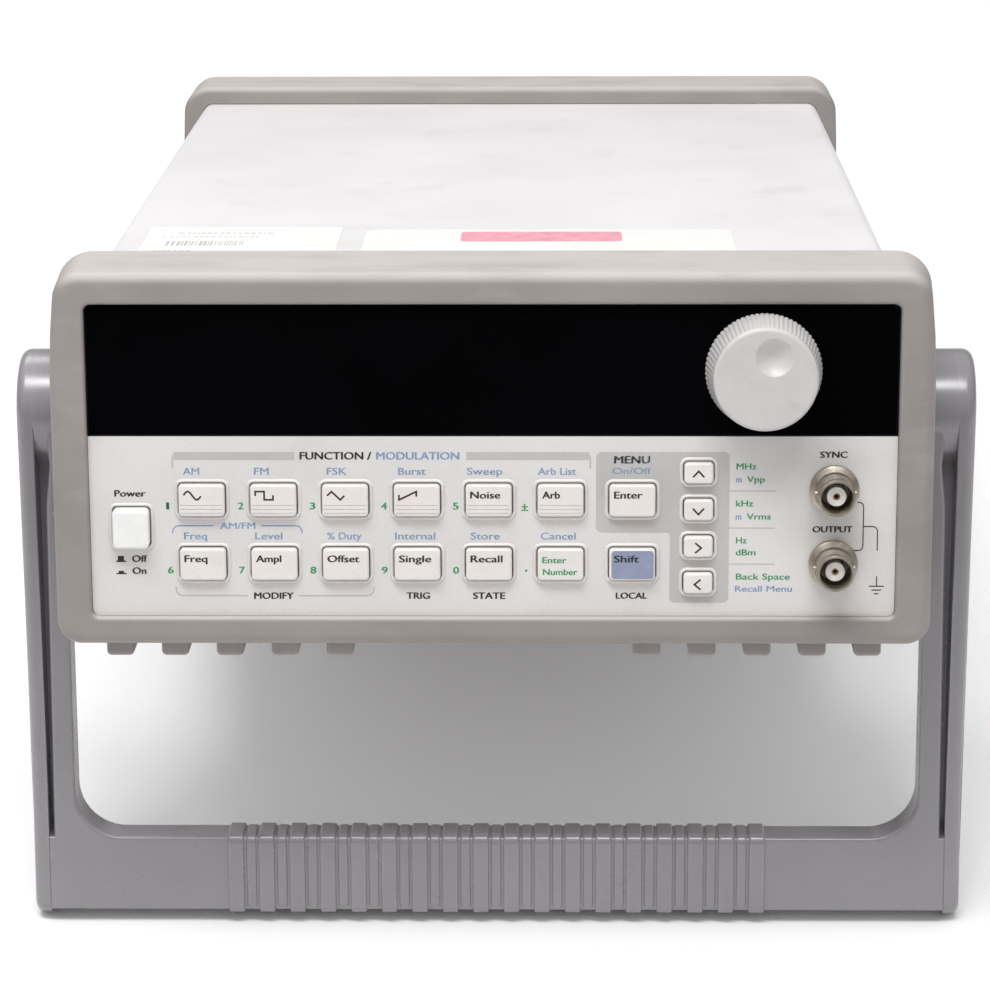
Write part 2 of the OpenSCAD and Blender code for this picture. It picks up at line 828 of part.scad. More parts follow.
// Main board on four posts, with eight chips.
module main_circuit_board() {
    board_w = 196;
    board_l = main_board_y1 - main_board_y0;
    post_z = floor_z + tray_t - 1;
    post_inset = 12;
    chip = [14, 28, 4];
    color("#2c6a42") posed() {
        translate([-board_w / 2, main_board_y0, main_board_z]) cube([board_w, board_l, board_t]);
        for (sx = [-1, 1], y = [main_board_y0 + post_inset, main_board_y1 - post_inset]) {
            translate([sx * 90, y, post_z]) cylinder(r = 3.5, h = main_board_z - post_z + eps);
        }
        for (i = [0:3], j = [0:1]) {
            translate([-60 + i * 28, 150 + j * 46, main_board_z + board_t - eps]) cube(chip);
        }
    }
}

module filter_capacitors() {
    can_r = 10;
    pitch = 26;
    color("#2b3350") posed() for (i = [0:1], j = [0:1]) {
        translate([-82 + i * pitch, 262 + j * pitch, main_board_z + board_t]) {
            cylinder(r = can_r, h = 32);
            cylinder(r = can_r + 0.4, h = 3);
        }
    }
}

module heat_sink() {
    back = [50, 4, 38];
    fin = [2, 18, 38];
    fin_pitch = 6.8;
    color("#2a2a2c") posed() translate([-30, 258, main_board_z + board_t]) {
        cube(back);
        for (i = [0:7]) translate([i * fin_pitch, back[1] - eps, 0]) cube(fin);
    }
}

// Metal can over the signal circuits, open underneath.
module shield_can() {
    can = [62, 92, 20];
    wall = 1;
    color("#c8cacc") posed() translate([32, 52, main_board_z + board_t]) difference() {
        cube(can);
        translate([wall, wall, -wall]) cube([can[0] - 2 * wall, can[1] - 2 * wall, can[2]]);
    }
}

module transformer() {
    core_w = 56;
    core_d = 48;
    core_h = 46;
    coil_inset = 10;
    coil_out = 9;
    strap_w = 8;
    color("#77787c") posed() translate([transformer_x, transformer_y, main_board_z + board_t]) {
        translate([-core_w / 2, 0, 0]) cube([core_w, core_d, core_h]);
        translate([-core_w / 2 + coil_inset, -coil_out, 6]) {
            cube([core_w - 2 * coil_inset, core_d + 2 * coil_out, core_h - 12]);
        }
        translate([-core_w / 2 - strap_w, 6, 0]) cube([core_w + 2 * strap_w, core_d - 12, 1.6]);
    }
}

// Flat cable from the front board down to the main board.
module ribbon_cable() {
    cable_t = 1;
    start = board_y + board_t;
    plug_z = main_board_z + board_t;
    plug = [7, 9];
    top_z = -20;
    color("#a9adb3") posed() side(-10, 40) {
        translate([start, top_z]) square([6, cable_t]);
        translate([start + 5, plug_z + plug[1]]) square([cable_t, top_z + cable_t - plug_z - plug[1]]);
        translate([start + 5, plug_z + plug[1] - cable_t]) square([24, cable_t]);
        translate([start + 26, plug_z]) square(plug);
    }
}

// Appliance inlet above, fuse drawer slot below, behind one cover plate.
module power_inlet() {
    inlet_d = 22;
    case_bottom = drawer_z - 6.3;
    case_top = inlet_z + inlet_h / 2 - 0.2;
    wide = inlet_w - 0.4;
    plate = [32, 42];
    cavity = [24, 16.4];
    color("#1d1d1f") posed() translate([inlet_x, 0, 0]) difference() {
        union() {
            translate([-wide / 2, rear_panel_y - inlet_d, case_bottom]) {
                cube([wide, inlet_d, case_top - case_bottom]);
            }
            slab(rear_panel_y - eps, rear_panel_t + eps) {
                translate([0, inlet_z]) square([wide, inlet_h - 0.4], center = true);
                translate([0, drawer_z]) square([wide, inlet_drawer_h - 0.4], center = true);
            }
            slab(rear_rim_y, 2) translate([0, (inlet_z + drawer_z) / 2]) round_rect(plate[0], plate[1], 3);
        }
        slab(rear_rim_y - cavity_d, 20) translate([0, inlet_z]) round_rect(cavity[0], cavity[1], 3);
        slab(rear_panel_y - 18, 40) translate([0, drawer_z]) square([23, 9], center = true);
    }
}

// The three flat contacts of the mains inlet.
module inlet_pins() {
    blade = [2, 12, 4];
    pitch = 7;
    color("#b8b4a8") posed() for (i = [-1:1]) {
        translate([inlet_x + i * pitch - blade[0] / 2, rear_rim_y - cavity_d + 0.05,
            inlet_z - 4 + (i == 0 ? blade[2] : 0)]) cube(blade);
    }
}

// Tray that carries the fuse, pulled straight out of the inlet.
module fuse_drawer() {
    tray_d = 17;
    color("#2a2a2c") posed() translate([inlet_x, 0, drawer_z]) difference() {
        union() {
            slab(rear_panel_y - tray_d, rear_panel_t + 2.1 + tray_d) square([22.6, 8.6], center = true);
            slab(rear_rim_y + 2.05, 1.6) round_rect(26, 11, 1);
        }
        translate([-fuse_l / 2 - 0.1, fuse_y - fuse_r - 0.1, -fuse_r]) {
            cube([fuse_l + 0.2, 2 * fuse_r + 0.2, 10]);
        }
    }
}

// Glass fuse with its two metal caps.
module fuse() {
    cap_l = 5;
    color("#d8dcdc") posed() translate([inlet_x, fuse_y, drawer_z]) rotate([0, 90, 0]) {
        cylinder(r = fuse_r - 0.2, h = fuse_l - 2 * cap_l + eps, center = true);
        for (s = [-1, 1]) translate([0, 0, s * (fuse_l - cap_l) / 2]) {
            cylinder(r = fuse_r - 0.05, h = cap_l, center = true);
        }
    }
}

// Two jack screws beside a connector, standing on its flange at depth y.
module jack_screws(x, y, r, h) {
    for (s = [-1, 1]) along_y(s * x, y, 0) cylinder(r = r, h = h, $fn = 6);
}

// 24-way bus socket: flange, shell and the tongue that carries its contacts.
module bus_connector() {
    flange = [62, 15];
    flange_l = 1.2;
    color("#2f3034") posed() translate([bus_x, 0, bus_z]) {
        difference() {
            union() {
                slab(rear_panel_y - 10, 10 + rear_panel_t + 6) square([bus_w, bus_h], center = true);
                slab(rear_rim_y + eps, flange_l) round_rect(flange[0], flange[1], 1);
            }
            slab(rear_rim_y, 10) square([40, 9.4], center = true);
        }
        slab(rear_rim_y - eps, 5) square([36, 4], center = true);
        jack_screws(27, rear_rim_y + flange_l - 0.1, 2.8, 6);
    }
}

// Nine-way D connector with its pins.
module serial_connector() {
    flange = [31, 12.5];
    flange_l = 1;
    pin_pitch = 2.8;
    row_z = 1.4;
    pin_y = rear_rim_y - 1 - eps;
    color("#a4a7ab") posed() translate([serial_x, 0, serial_z]) {
        difference() {
            union() {
                slab(rear_panel_y - 10, 10 + rear_panel_t + 5) square([serial_w, serial_h], center = true);
                slab(rear_rim_y + eps, flange_l) round_rect(flange[0], flange[1], 1);
            }
            slab(rear_rim_y - 1, 10) square([17, 7.4], center = true);
        }
        for (i = [-2:2]) rod(i * pin_pitch, pin_y, row_z, 0.5, 5);
        for (i = [-1.5:1.5]) rod(i * pin_pitch, pin_y, -row_z, 0.5, 5);
        jack_screws(12.5, rear_rim_y + flange_l - 0.1, 2.4, 5);
    }
}

// Threaded stud held by a nut on each side of the rear panel.
module ground_stud() {
    nut_r = 4;
    nut_h = 2.4;
    color("#c2b280") posed() {
        rod(stud_x, rear_panel_y - 5, stud_z, stud_r, 18);
        along_y(stud_x, rear_rim_y + eps, stud_z) cylinder(r = nut_r, h = nut_h, $fn = 6);
        along_y(stud_x, rear_panel_y - nut_h, stud_z) cylinder(r = nut_r, h = nut_h - 0.05, $fn = 6);
    }
}

module fan_frame() {
    strut = [fan_size / 2 - fan_hub_r + 1, 2, 3];
    color("#232325") posed() translate([fan_x, fan_y, fan_z]) difference() {
        union() {
            difference() {
                slab(0, fan_d) round_rect(fan_size, fan_size, 4);
                rod(0, -1, 0, fan_size / 2 - 1.5, fan_d + 2);
            }
            // motor seat and its struts, on the side away from the rear panel
            rod(0, 0, 0, fan_hub_r, 3);
            for (a = [45:90:315]) rotate([0, a, 0]) {
                translate([fan_hub_r - 1, 0, -strut[2] / 2]) cube(strut);
            }
        }
        rod(0, -1, 0, fan_pin_r + 0.05, 8);
    }
}

module fan_rotor() {
    blade = [fan_size / 2 - fan_hub_r - 0.6, 1.6, 14];
    blade_angle = 35;
    color("#2e2e31") posed() translate([fan_x, fan_y, fan_z]) {
        rod(0, 4, 0, fan_hub_r - 0.5, fan_d - 6);
        rod(0, 0.4, 0, fan_pin_r, 4);
        for (i = [0:blade_count - 1]) rotate([0, i * 360 / blade_count, 0]) {
            translate([fan_hub_r - 2, fan_d / 2 + 1, 0]) rotate([blade_angle, 0, 0]) {
                translate([0, -blade[1] / 2, -blade[2] / 2]) cube(blade);
            }
        }
    }
}

front_bumper();
rear_bumper();
sleeve_cover();
cover_labels();
front_panel();
display_window();
display_tube();
front_circuit_board();
keypad_mat();
knob_encoder();
encoder_shaft();
tuning_knob();
power_button();
power_push_rod();
power_switch();
key_sine();
key_square();
key_triangle();
key_ramp();
key_noise();
key_arb();
key_enter();
key_freq();
key_ampl();
key_offset();
key_single();
key_recall();
key_enter_number();
key_shift();
key_up();
key_down();
key_right();
key_left();
sync_jack();
output_jack();
rear_jacks();
jack_insulators();
jack_contacts();
jack_nuts();
handle();
handle_bushes();
chassis_tray();
rear_panel();
rear_panel_screws();
main_circuit_board();
filter_capacitors();
heat_sink();
shield_can();
transformer();
ribbon_cable();
power_inlet();
inlet_pins();
fuse_drawer();
fuse();
bus_connector();
serial_connector();
ground_stud();
fan_frame();
fan_rotor();
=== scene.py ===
"""Looks of the bench function generator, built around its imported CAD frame.

Pieces are drawn in the instrument's own axes, in millimetres (X right, Y back from the front edge,
Z up from half height), and placed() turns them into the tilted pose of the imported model."""

import json
import math
import random

import bmesh
import bpy
from mathutils import Matrix, Vector


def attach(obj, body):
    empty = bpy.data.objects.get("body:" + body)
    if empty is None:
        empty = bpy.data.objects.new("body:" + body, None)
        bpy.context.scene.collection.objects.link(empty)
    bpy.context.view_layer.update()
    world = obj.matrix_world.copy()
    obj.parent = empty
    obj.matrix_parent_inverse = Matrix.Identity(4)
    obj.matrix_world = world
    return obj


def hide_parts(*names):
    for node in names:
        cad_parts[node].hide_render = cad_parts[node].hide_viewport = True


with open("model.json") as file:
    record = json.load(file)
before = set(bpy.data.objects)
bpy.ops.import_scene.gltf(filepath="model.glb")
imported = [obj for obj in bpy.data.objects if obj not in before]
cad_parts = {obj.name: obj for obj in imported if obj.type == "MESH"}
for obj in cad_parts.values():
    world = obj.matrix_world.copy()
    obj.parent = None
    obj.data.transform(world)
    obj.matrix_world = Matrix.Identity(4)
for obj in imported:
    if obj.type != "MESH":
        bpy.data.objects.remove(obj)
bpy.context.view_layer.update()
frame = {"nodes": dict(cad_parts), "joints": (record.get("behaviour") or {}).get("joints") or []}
NODES = frame["nodes"]
JOINTS = {joint["name"]: joint for joint in frame["joints"]}

# ---------------------------------------------------------------- instrument axes
MM = 0.001
PIVOT_Y, PIVOT_Z = 48.5, 4.0
BACK = Vector(JOINTS["power_press"]["axis"]).normalized()
RIGHT = Vector((1, 0, 0))
UP = RIGHT.cross(BACK)
ORIGIN = Vector(JOINTS["handle_turn"]["pos_m"]) - BACK * PIVOT_Y * MM - UP * PIVOT_Z * MM
TURN = Matrix((RIGHT, BACK, UP)).transposed()

# ---------------------------------------------------------------- sizes (mm)
BUMPER_W, BUMPER_TOP, BUMPER_BOTTOM = 228.4, 50.0, -49.2
BUMPER_R, BUMPER_EDGE, COVER_EDGE, LEAN_L = 6.0, 3.4, 2.4, 31.0
BODY_W, BODY_H, BODY_R = 212.6, 88.5, 3.7
OVERALL_L, FRONT_D, REAR_D = 374.0, 33.0, 32.0
PANEL_W, PANEL_TOP, PANEL_BOTTOM, PANEL_Y = 209.8, 41.8, -41.5, 2.0
COVER_FRONT, COVER_BACK = 8.0, 362.0
FOOT_W, FOOT_H, FOOT_L, FOOT_PITCH, FOOT_FIRST = 7.2, 4.2, 24.0, 14.5, 40.35
KEY_X0, KEY_PITCH, KEY_ROWS = -75.5, 18.64, (-9.95, -27.1)
KEY_W, KEY_H = 12.0, 8.5
ARROW_X, ARROW_Z0, ARROW_PITCH, ARROW_W, ARROW_H = 53.5, -2.6, 9.85, 7.6, 5.5
POWER_X, POWER_Z, POWER_W, POWER_H = -94.0, -17.3, 9.5, 10.4
KNOB_X, KNOB_Z, KNOB_L, KNOB_BASE_R, KNOB_FRONT_R = 69.9, 24.3, 11.4, 15.1, 13.5
KNOB_FRONT = PANEL_Y - 0.6 - KNOB_L
JACK_X, JACK_ZS, JACK_FRONT = 88.6, (-7.1, -27.1), -8.6
HANDLE_HALF, PLATE_T, WALL_INNER = 127.4, 4.4, 115.6
HUB_R, ARM_FRONT, ARM_D, ARM_END_R, ARM_BOTTOM = 15.9, 33.0, 13.0, 5.0, -137.3
GRIP_TOP, GRIP_BOTTOM, FRAME_D, GAP_R = -113.9, -135.2, 10.6, 13.0
SPLAY_LEFT, SPLAY_RIGHT, SPLAY_GRIP = 1.0, 1.5, -0.3
RIB_COUNT, RIB_W, RIB_PITCH, RIB_GAP_W = 18, 4.4, 8.43, 2.9
INK = 0.03
HEAVY = 0.22


# ---------------------------------------------------------------- drawing helpers
def corner_arc(before, corner, after, radius, steps):
    """Points that round one corner of an outline."""
    corner = Vector(corner)
    a = (Vector(before) - corner).normalized()
    b = (Vector(after) - corner).normalized()
    half = a.angle(b) / 2
    reach = radius / math.tan(half)
    centre = corner + (a + b).normalized() * (radius / math.sin(half))
    start = corner + a * reach - centre
    end = corner + b * reach - centre
    sweep = start.angle(end)
    if sweep < 1e-4:
        return [tuple(corner)] * (steps + 1)
    points = []
    for i in range(steps + 1):
        t = i / steps
        turn = (start * math.sin((1 - t) * sweep) + end * math.sin(t * sweep)) / math.sin(sweep)
        points.append(tuple(centre + turn))
    return points


def fillet(corners, radius, steps=6):
    """Outline with every corner rounded; radius is one number or one for each corner."""
    radii = radius if isinstance(radius, (list, tuple)) else [radius] * len(corners)
    points = []
    for i, corner in enumerate(corners):
        before, after = corners[i - 1], corners[(i + 1) % len(corners)]
        points += corner_arc(before, corner, after, max(radii[i], 0.01), steps)
    return points


def rounded(w, h, r, x=0.0, z=0.0, steps=6):
    """Rounded rectangle outline centred on x, z."""
    corners = [(x - w / 2, z - h / 2), (x + w / 2, z - h / 2), (x + w / 2, z + h / 2), (x - w / 2, z + h / 2)]
    return fillet(corners, r, steps)


def inset(outline, d):
    """Outline moved inwards by d, for an outline that runs anticlockwise."""
    if abs(d) < 1e-9:
        return list(outline)
    count = len(outline)
    moved = []
    for i in range(count):
        p = Vector(outline[i])
        a = p - Vector(outline[i - 1])
        b = Vector(outline[(i + 1) % count]) - p
        if a.length < 1e-7:
            a = b
        if b.length < 1e-7:
            b = a
        a.normalize()
        b.normalize()
        normal = Vector((-a.y - b.y, a.x + b.x))
        scale = d / max(0.35, 0.5 * normal.length_squared)
        moved.append(tuple(p + normal * scale))
    return moved


def oriented(outline, t, axis):
    """2-D points at depth t: axis y takes (x, z), axis x takes (y, z), axis z takes (x, y)."""
    if axis == "y":
        return [(u, t, v) for u, v in outline]
    if axis == "x":
        return [(t, u, v) for u, v in outline]
    return [(u, v, t) for u, v in outline]


def skin(rings, loop=False):
    """Surface through rings of equal length, closed by end caps or back on itself."""
    n = len(rings[0])
    verts = [p for ring in rings for p in ring]
    faces = []
    for k in range(len(rings) if loop else len(rings) - 1):
        a, b = k * n, (k + 1) % len(rings) * n
        faces += [(a + i, a + (i + 1) % n, b + (i + 1) % n, b + i) for i in range(n)]
    if not loop:
        faces.append(tuple(range(n)))
        faces.append(tuple(range((len(rings) - 1) * n, len(rings) * n)))
    return verts, faces


def quarter_round(steps):
    """Shares of the radius, as (inset, depth), along a rounded edge from its face to its side."""
    angles = [math.radians(90 * k / steps) for k in range(steps + 1)]
    return [(1 - math.sin(a), 1 - math.cos(a)) for a in angles]


def prism(outline, t0, t1, e0=0.0, e1=0.0, axis="y", steps=4):
    """Extruded outline whose two end edges are rounded by e0 and e1."""
    edge, square = quarter_round(steps), [(0, 1)]
    near = edge if e0 > 0 else square
    far = edge[::-1] if e1 > 0 else square
    rings = [oriented(inset(outline, e0 * d), t0 + e0 * t, axis) for d, t in near]
    rings += [oriented(inset(outline, e1 * d), t1 - e1 * t, axis) for d, t in far]
    return skin(rings)


def lathe(profile, x, z, count=72, loop=False):
    """Profile of (radius, y) turned about the Y direction through x, z; loop closes it into a tube."""
    angles = [2 * math.pi * i / count for i in range(count)]
    rings = [[(x + r * math.cos(a), y, z + r * math.sin(a)) for a in angles] for r, y in profile]
    return skin(rings, loop)


def ribbon(points, width):
    """Outline of a line of constant width along points."""
    sides = [[], []]
    for i, p in enumerate(points):
        p = Vector(p)
        a = (p - Vector(points[i - 1])).normalized() if i else None
        b = (Vector(points[i + 1]) - p).normalized() if i + 1 < len(points) else None
        a, b = a or b, b or a
        normal = Vector((-a.y - b.y, a.x + b.x))
        normal *= width / 2 / max(0.5, 0.5 * normal.length_squared)
        sides[0].append(tuple(p + normal))
        sides[1].append(tuple(p - normal))
    return sides[1] + sides[0][::-1]


def print_line(points, width, y=PANEL_Y):
    return prism(ribbon(points, width), y - INK, y + INK)


def lettering(string, x, z, cap, width, y=PANEL_Y, bold=0.12):
    """Printed characters: left edge x, baseline z, capital height, overall width and extra stroke.

    The characters are struck twice, a little apart, which thickens their strokes."""
    cap_share, rise, half_thick = 0.73, 0.3, 0.01
    curve = bpy.data.curves.new("lettering", "FONT")
    curve.body = string
    curve.resolution_u = 3
    curve.extrude = half_thick
    holder = bpy.data.objects.new("lettering", curve)
    mesh = holder.to_mesh()
    left = min(v.co.x for v in mesh.vertices)
    wide = max(v.co.x for v in mesh.vertices) - left
    across, tall = (width - bold) / wide, (cap - bold * rise) / cap_share
    verts, faces = [], []
    for strike in (0, bold):
        base = len(verts)
        thick = (INK + strike * 0.02) / half_thick
        x0, z0 = x + strike, z + strike * rise
        verts += [(x0 + (v.co.x - left) * across, y - v.co.z * thick, z0 + v.co.y * tall)
            for v in mesh.vertices]
        faces += [tuple(base + i for i in p.vertices) for p in mesh.polygons]
    holder.to_mesh_clear()
    bpy.data.objects.remove(holder)
    bpy.data.curves.remove(curve)
    return verts, faces


def placed(points):
    return [ORIGIN + TURN @ Vector(p) * MM for p in points]


def joined(name, parts):
    """Mesh datablock made of several parts, with its normals facing out."""
    verts, faces = [], []
    for part_verts, part_faces in parts:
        base = len(verts)
        verts += placed(part_verts)
        faces += [tuple(base + i for i in face) for face in part_faces]
    mesh = bpy.data.meshes.new(name)
    mesh.from_pydata(verts, [], faces)
    bm = bmesh.new()
    bm.from_mesh(mesh)
    bmesh.ops.dissolve_degenerate(bm, edges=bm.edges, dist=1e-8)
    bmesh.ops.recalc_face_normals(bm, faces=bm.faces)
    bm.to_mesh(mesh)
    bm.free()
    return mesh


def smooth_below(mesh, angle):
    """Smooth shading, with edges steeper than angle degrees kept sharp."""
    bm = bmesh.new()
    bm.from_mesh(mesh)
    for face in bm.faces:
        face.smooth = True
    for edge in bm.edges:
        edge.smooth = edge.calc_face_angle(0) < math.radians(angle)
    bm.to_mesh(mesh)
    bm.free()


def piece(name, parts, body, material, sharp=35):
    """One mesh object from several parts, riding on a body."""
    mesh = joined(name, parts)
    smooth_below(mesh, sharp)
    obj = bpy.data.objects.new(name, mesh)
    bpy.context.scene.collection.objects.link(obj)
    mesh.materials.append(material)
    normals = obj.modifiers.new("normals", "WEIGHTED_NORMAL")
    normals.keep_sharp = True
    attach(obj, body)
    return obj


def carve(obj, parts):
    """Cuts parts out of a piece for good."""
    cutter = bpy.data.objects.new("cutter", joined("cutter", parts))
    bpy.context.scene.collection.objects.link(cutter)
    cut = obj.modifiers.new("cut", "BOOLEAN")
    cut.object = cutter
    cut.operation = "DIFFERENCE"
    cut.solver = "EXACT"
    obj.modifiers.move(len(obj.modifiers) - 1, 0)
    normals = obj.modifiers["normals"]
    normals.show_viewport = False
    bpy.context.view_layer.update()
    done = bpy.data.meshes.new_from_object(obj.evaluated_get(bpy.context.evaluated_depsgraph_get()))
    obj.modifiers.remove(cut)
    normals.show_viewport = True
    obj.data = done
    smooth_below(done, 35)
    bpy.data.objects.remove(cutter)


def soften(node, width):
    """Small round on the hard edges of a CAD node."""
    obj = NODES[node]
    weld = obj.modifiers.new("weld", "WELD")
    weld.merge_threshold = 1e-6
    edge = obj.modifiers.new("edge", "BEVEL")
    edge.width = width * MM
    edge.segments = 2
    edge.limit_method = "ANGLE"
    edge.angle_limit = math.radians(30)
    edge.use_clamp_overlap = False
    obj.modifiers.new("normals", "WEIGHTED_NORMAL")


# ---------------------------------------------------------------- materials
class Shader:
    """A material's node tree with short calls for the nodes used here."""

    def __init__(self, name, rough=0.5, **fixed):
        self.material = bpy.data.materials.new(name)
        self.material.use_nodes = True
        self.tree = self.material.node_tree
        self.bsdf = next(n for n in self.tree.nodes if n.type == "BSDF_PRINCIPLED")
        self.bsdf.inputs["Roughness"].default_value = rough
        for socket, value in fixed.items():
            self.bsdf.inputs[socket.replace("_", " ").title().replace("Ior", "IOR")].default_value = value
        self.place = self.tree.nodes.new("ShaderNodeTexCoord").outputs["Object"]

    def node(self, kind, inputs=(), **settings):
        node = self.tree.nodes.new(kind)
        for key, value in settings.items():
            setattr(node, key, value)
        for key, value in dict(inputs).items():
            if isinstance(value, bpy.types.NodeSocket):
                self.tree.links.new(value, node.inputs[key])
            else:
                node.inputs[key].default_value = value
        return node

    def noise(self, size, detail=3.0, stretch=(1, 1, 1), turn=(0, 0, 0), seed=0.0):
        """Noise from 0 to 1 whose features are about size millimetres."""
        where = self.node("ShaderNodeMapping", {"Vector": self.place, "Scale": stretch, "Rotation": turn,
            "Location": (seed, seed * 0.7, seed * 1.3)})
        return self.node("ShaderNodeTexNoise", {"Vector": where.outputs[0], "Scale": 1000 / size,
            "Detail": detail}).outputs["Fac"]

    def span(self, value, low, high, to_low=0.0, to_high=1.0):
        node = self.node("ShaderNodeMapRange", {0: value, 1: low, 2: high, 3: to_low, 4: to_high})
        return node.outputs[0]

    def mix(self, factor, a, b, blend="MIX"):
        node = self.node("ShaderNodeMix", data_type="RGBA", blend_type=blend)
        for index, value in ((0, factor), (6, a), (7, b)):
            if isinstance(value, bpy.types.NodeSocket):
                self.tree.links.new(value, node.inputs[index])
            else:
                node.inputs[index].default_value = value if index == 0 else (*value, 1)
        return node.outputs[2]

    def times(self, a, b):
        return self.node("ShaderNodeMath", {0: a, 1: b}, operation="MULTIPLY").outputs[0]

    def edges(self, radius):
        """1 on convex and concave edges, 0 on flat faces."""
        soft = self.node("ShaderNodeBevel", {"Radius": radius * MM}, samples=4)
        true_normal = self.node("ShaderNodeNewGeometry").outputs["Normal"]
        dot = self.node("ShaderNodeVectorMath", {0: soft.outputs[0], 1: true_normal}, operation="DOT_PRODUCT")
        return self.span(dot.outputs["Value"], 0.995, 0.9)

    def bump(self, height, strength, distance):
        before = self.bsdf.inputs["Normal"].links
        inputs = {"Height": height, "Strength": strength, "Distance": distance * MM}
        if before:
            inputs["Normal"] = before[0].from_socket
        node = self.node("ShaderNodeBump", inputs)
        self.tree.links.new(node.outputs[0], self.bsdf.inputs["Normal"])

    def color(self, socket):
        self.tree.links.new(socket, self.bsdf.inputs["Base Color"])

    def roughness(self, socket):
        self.tree.links.new(socket, self.bsdf.inputs["Roughness"])


def shade(color, factor):
    return tuple(min(1.0, c * factor) for c in color)


def base_surface(name, color, rough, cloud=25.0, spread=0.04, speck=0.5, speck_spread=0.03,
        grain=0.35, grain_depth=0.02, grain_strength=0.3, rough_spread=0.06, **fixed):
    """Moulded or painted surface: soft clouds, fine specks, uneven gloss and a fine grain."""
    s = Shader(name, rough, **fixed)
    clouds = s.mix(s.span(s.noise(cloud), 0.35, 0.65), shade(color, 1 - spread), shade(color, 1 + spread))
    specks = s.span(s.noise(speck, 2, seed=3.1), 0.3, 0.7, 1 - speck_spread, 1 + speck_spread)
    tint = s.node("ShaderNodeCombineColor", {0: specks, 1: specks, 2: specks})
    s.tint = s.mix(1.0, clouds, tint.outputs[0], "MULTIPLY")
    s.color(s.tint)
    s.roughness(s.span(s.noise(cloud * 0.6, seed=7.7), 0.3, 0.7, rough - rough_spread, rough + rough_spread))
    s.bump(s.noise(grain, 2, seed=1.7), grain_strength, grain_depth)
    return s


def soil(s, color, size, low, high, amount, seed=11.0, stretch=(1, 1, 1)):
    """Blotches of dirt or wear over a surface."""
    mask = s.times(s.span(s.noise(size, 5, stretch=stretch, seed=seed), low, high), amount)
    s.tint = s.mix(mask, s.tint, color)
    s.color(s.tint)
    return s


def rubbed_edges(s, color, radius, amount):
    s.tint = s.mix(s.times(s.edges(radius), amount), s.tint, color)
    s.color(s.tint)
    return s


def dust_and_painted_top_light(s, color, amount):
    """Lighter colour on the faces that look up: partly a dust film, partly painted light standing for the
    brighter lit tops.
    """
    upright = s.node("ShaderNodeSeparateXYZ", {0: s.node("ShaderNodeNewGeometry").outputs["Normal"]})
    mask = s.times(s.span(upright.outputs["Z"], 0.5, 0.98), amount)
    s.tint = s.mix(mask, s.tint, color)
    s.color(s.tint)
    return s


def bumper_rubber():
    s = base_surface("bumper_rubber", (0.295, 0.27, 0.256), 0.62, cloud=40, spread=0.06, grain=0.6,
        grain_depth=0.03, grain_strength=0.35)
    # lighter tops: partly dust, partly painted top light
    dust_and_painted_top_light(s, (0.57, 0.54, 0.515), 0.72)
    soil(s, (0.22, 0.19, 0.17), 12, 0.50, 0.72, 0.26, stretch=(0.4, 1, 1))
    soil(s, (0.42, 0.39, 0.37), 7, 0.56, 0.74, 0.26, seed=4.4, stretch=(0.35, 1, 1))
    return rubbed_edges(s, (0.42, 0.39, 0.37), 1.6, 0.25)


def cover_paint():
    s = base_surface("cover_paint", (0.73, 0.71, 0.715), 0.46, cloud=60, spread=0.03, grain=0.5,
        grain_depth=0.02, grain_strength=0.4)
    for turn, seed in ((0.5, 2.0), (-0.9, 5.0), (1.4, 9.0)):
        lines = s.noise(3.0, 3, stretch=(12, 0.25, 1), turn=(0, 0, turn), seed=seed)
        s.tint = s.mix(s.times(s.span(lines, 0.70, 0.78), 0.35), s.tint, (0.52, 0.50, 0.48))
    s.color(s.tint)
    return soil(s, (0.55, 0.52, 0.49), 22, 0.60, 0.78, 0.35)


def label():
    return base_surface("label", (0.82, 0.82, 0.80), 0.38, cloud=30, spread=0.02, grain=1.2, grain_depth=0.01)


def panel_plastic():
    s = base_surface("panel_plastic", (0.70, 0.68, 0.67), 0.50, cloud=35, spread=0.025, grain=0.3,
        grain_depth=0.01)
    return soil(s, (0.50, 0.46, 0.42), 18, 0.58, 0.78, 0.22)


def rim_plastic():
    return base_surface("rim_plastic", (0.72, 0.70, 0.69), 0.42, grain=0.3, grain_depth=0.008)


def gray_print():
    return base_surface("gray_print", (0.50, 0.49, 0.485), 0.52, grain=0.3, grain_depth=0.008)


def window():
    s = base_surface("window", (0.0015, 0.0015, 0.002), 0.08, cloud=50, spread=0.2, grain=6.0,
        grain_depth=0.01, grain_strength=0.05, rough_spread=0.03, specular_ior_level=0.03)
    return rubbed_edges(s, (0.10, 0.10, 0.11), 0.4, 0.5)


def display_glass():
    return base_surface("display_glass", (0.02, 0.035, 0.035), 0.05, grain=8.0, grain_depth=0.01)


def circuit_board():
    s = base_surface("circuit_board", (0.03, 0.16, 0.07), 0.35, cloud=8, spread=0.25, grain=1.5)
    return soil(s, (0.05, 0.30, 0.14), 3, 0.50, 0.56, 0.8)


def key_mat():
    return base_surface("key_mat", (0.42, 0.41, 0.38), 0.7, grain=0.8)


def metal():
    s = base_surface("metal", (0.52, 0.53, 0.54), 0.30, cloud=6, spread=0.06, metallic=1.0)
    s.bump(s.noise(0.3, 3, stretch=(1, 14, 1)), 0.3, 0.02)
    return s


def knob_plastic():
    s = base_surface("knob_plastic", (0.58, 0.56, 0.555), 0.38, cloud=12, spread=0.03, grain=0.3,
        grain_depth=0.012)
    soil(s, (0.42, 0.39, 0.36), 5, 0.58, 0.75, 0.30)
    return rubbed_edges(s, (0.66, 0.65, 0.64), 0.5, 0.35)


def power_cap():
    s = base_surface("power_cap", (0.86, 0.86, 0.85), 0.34, cloud=5, spread=0.02, grain=0.4,
        grain_depth=0.008)
    return soil(s, (0.74, 0.72, 0.68), 4, 0.62, 0.80, 0.3)


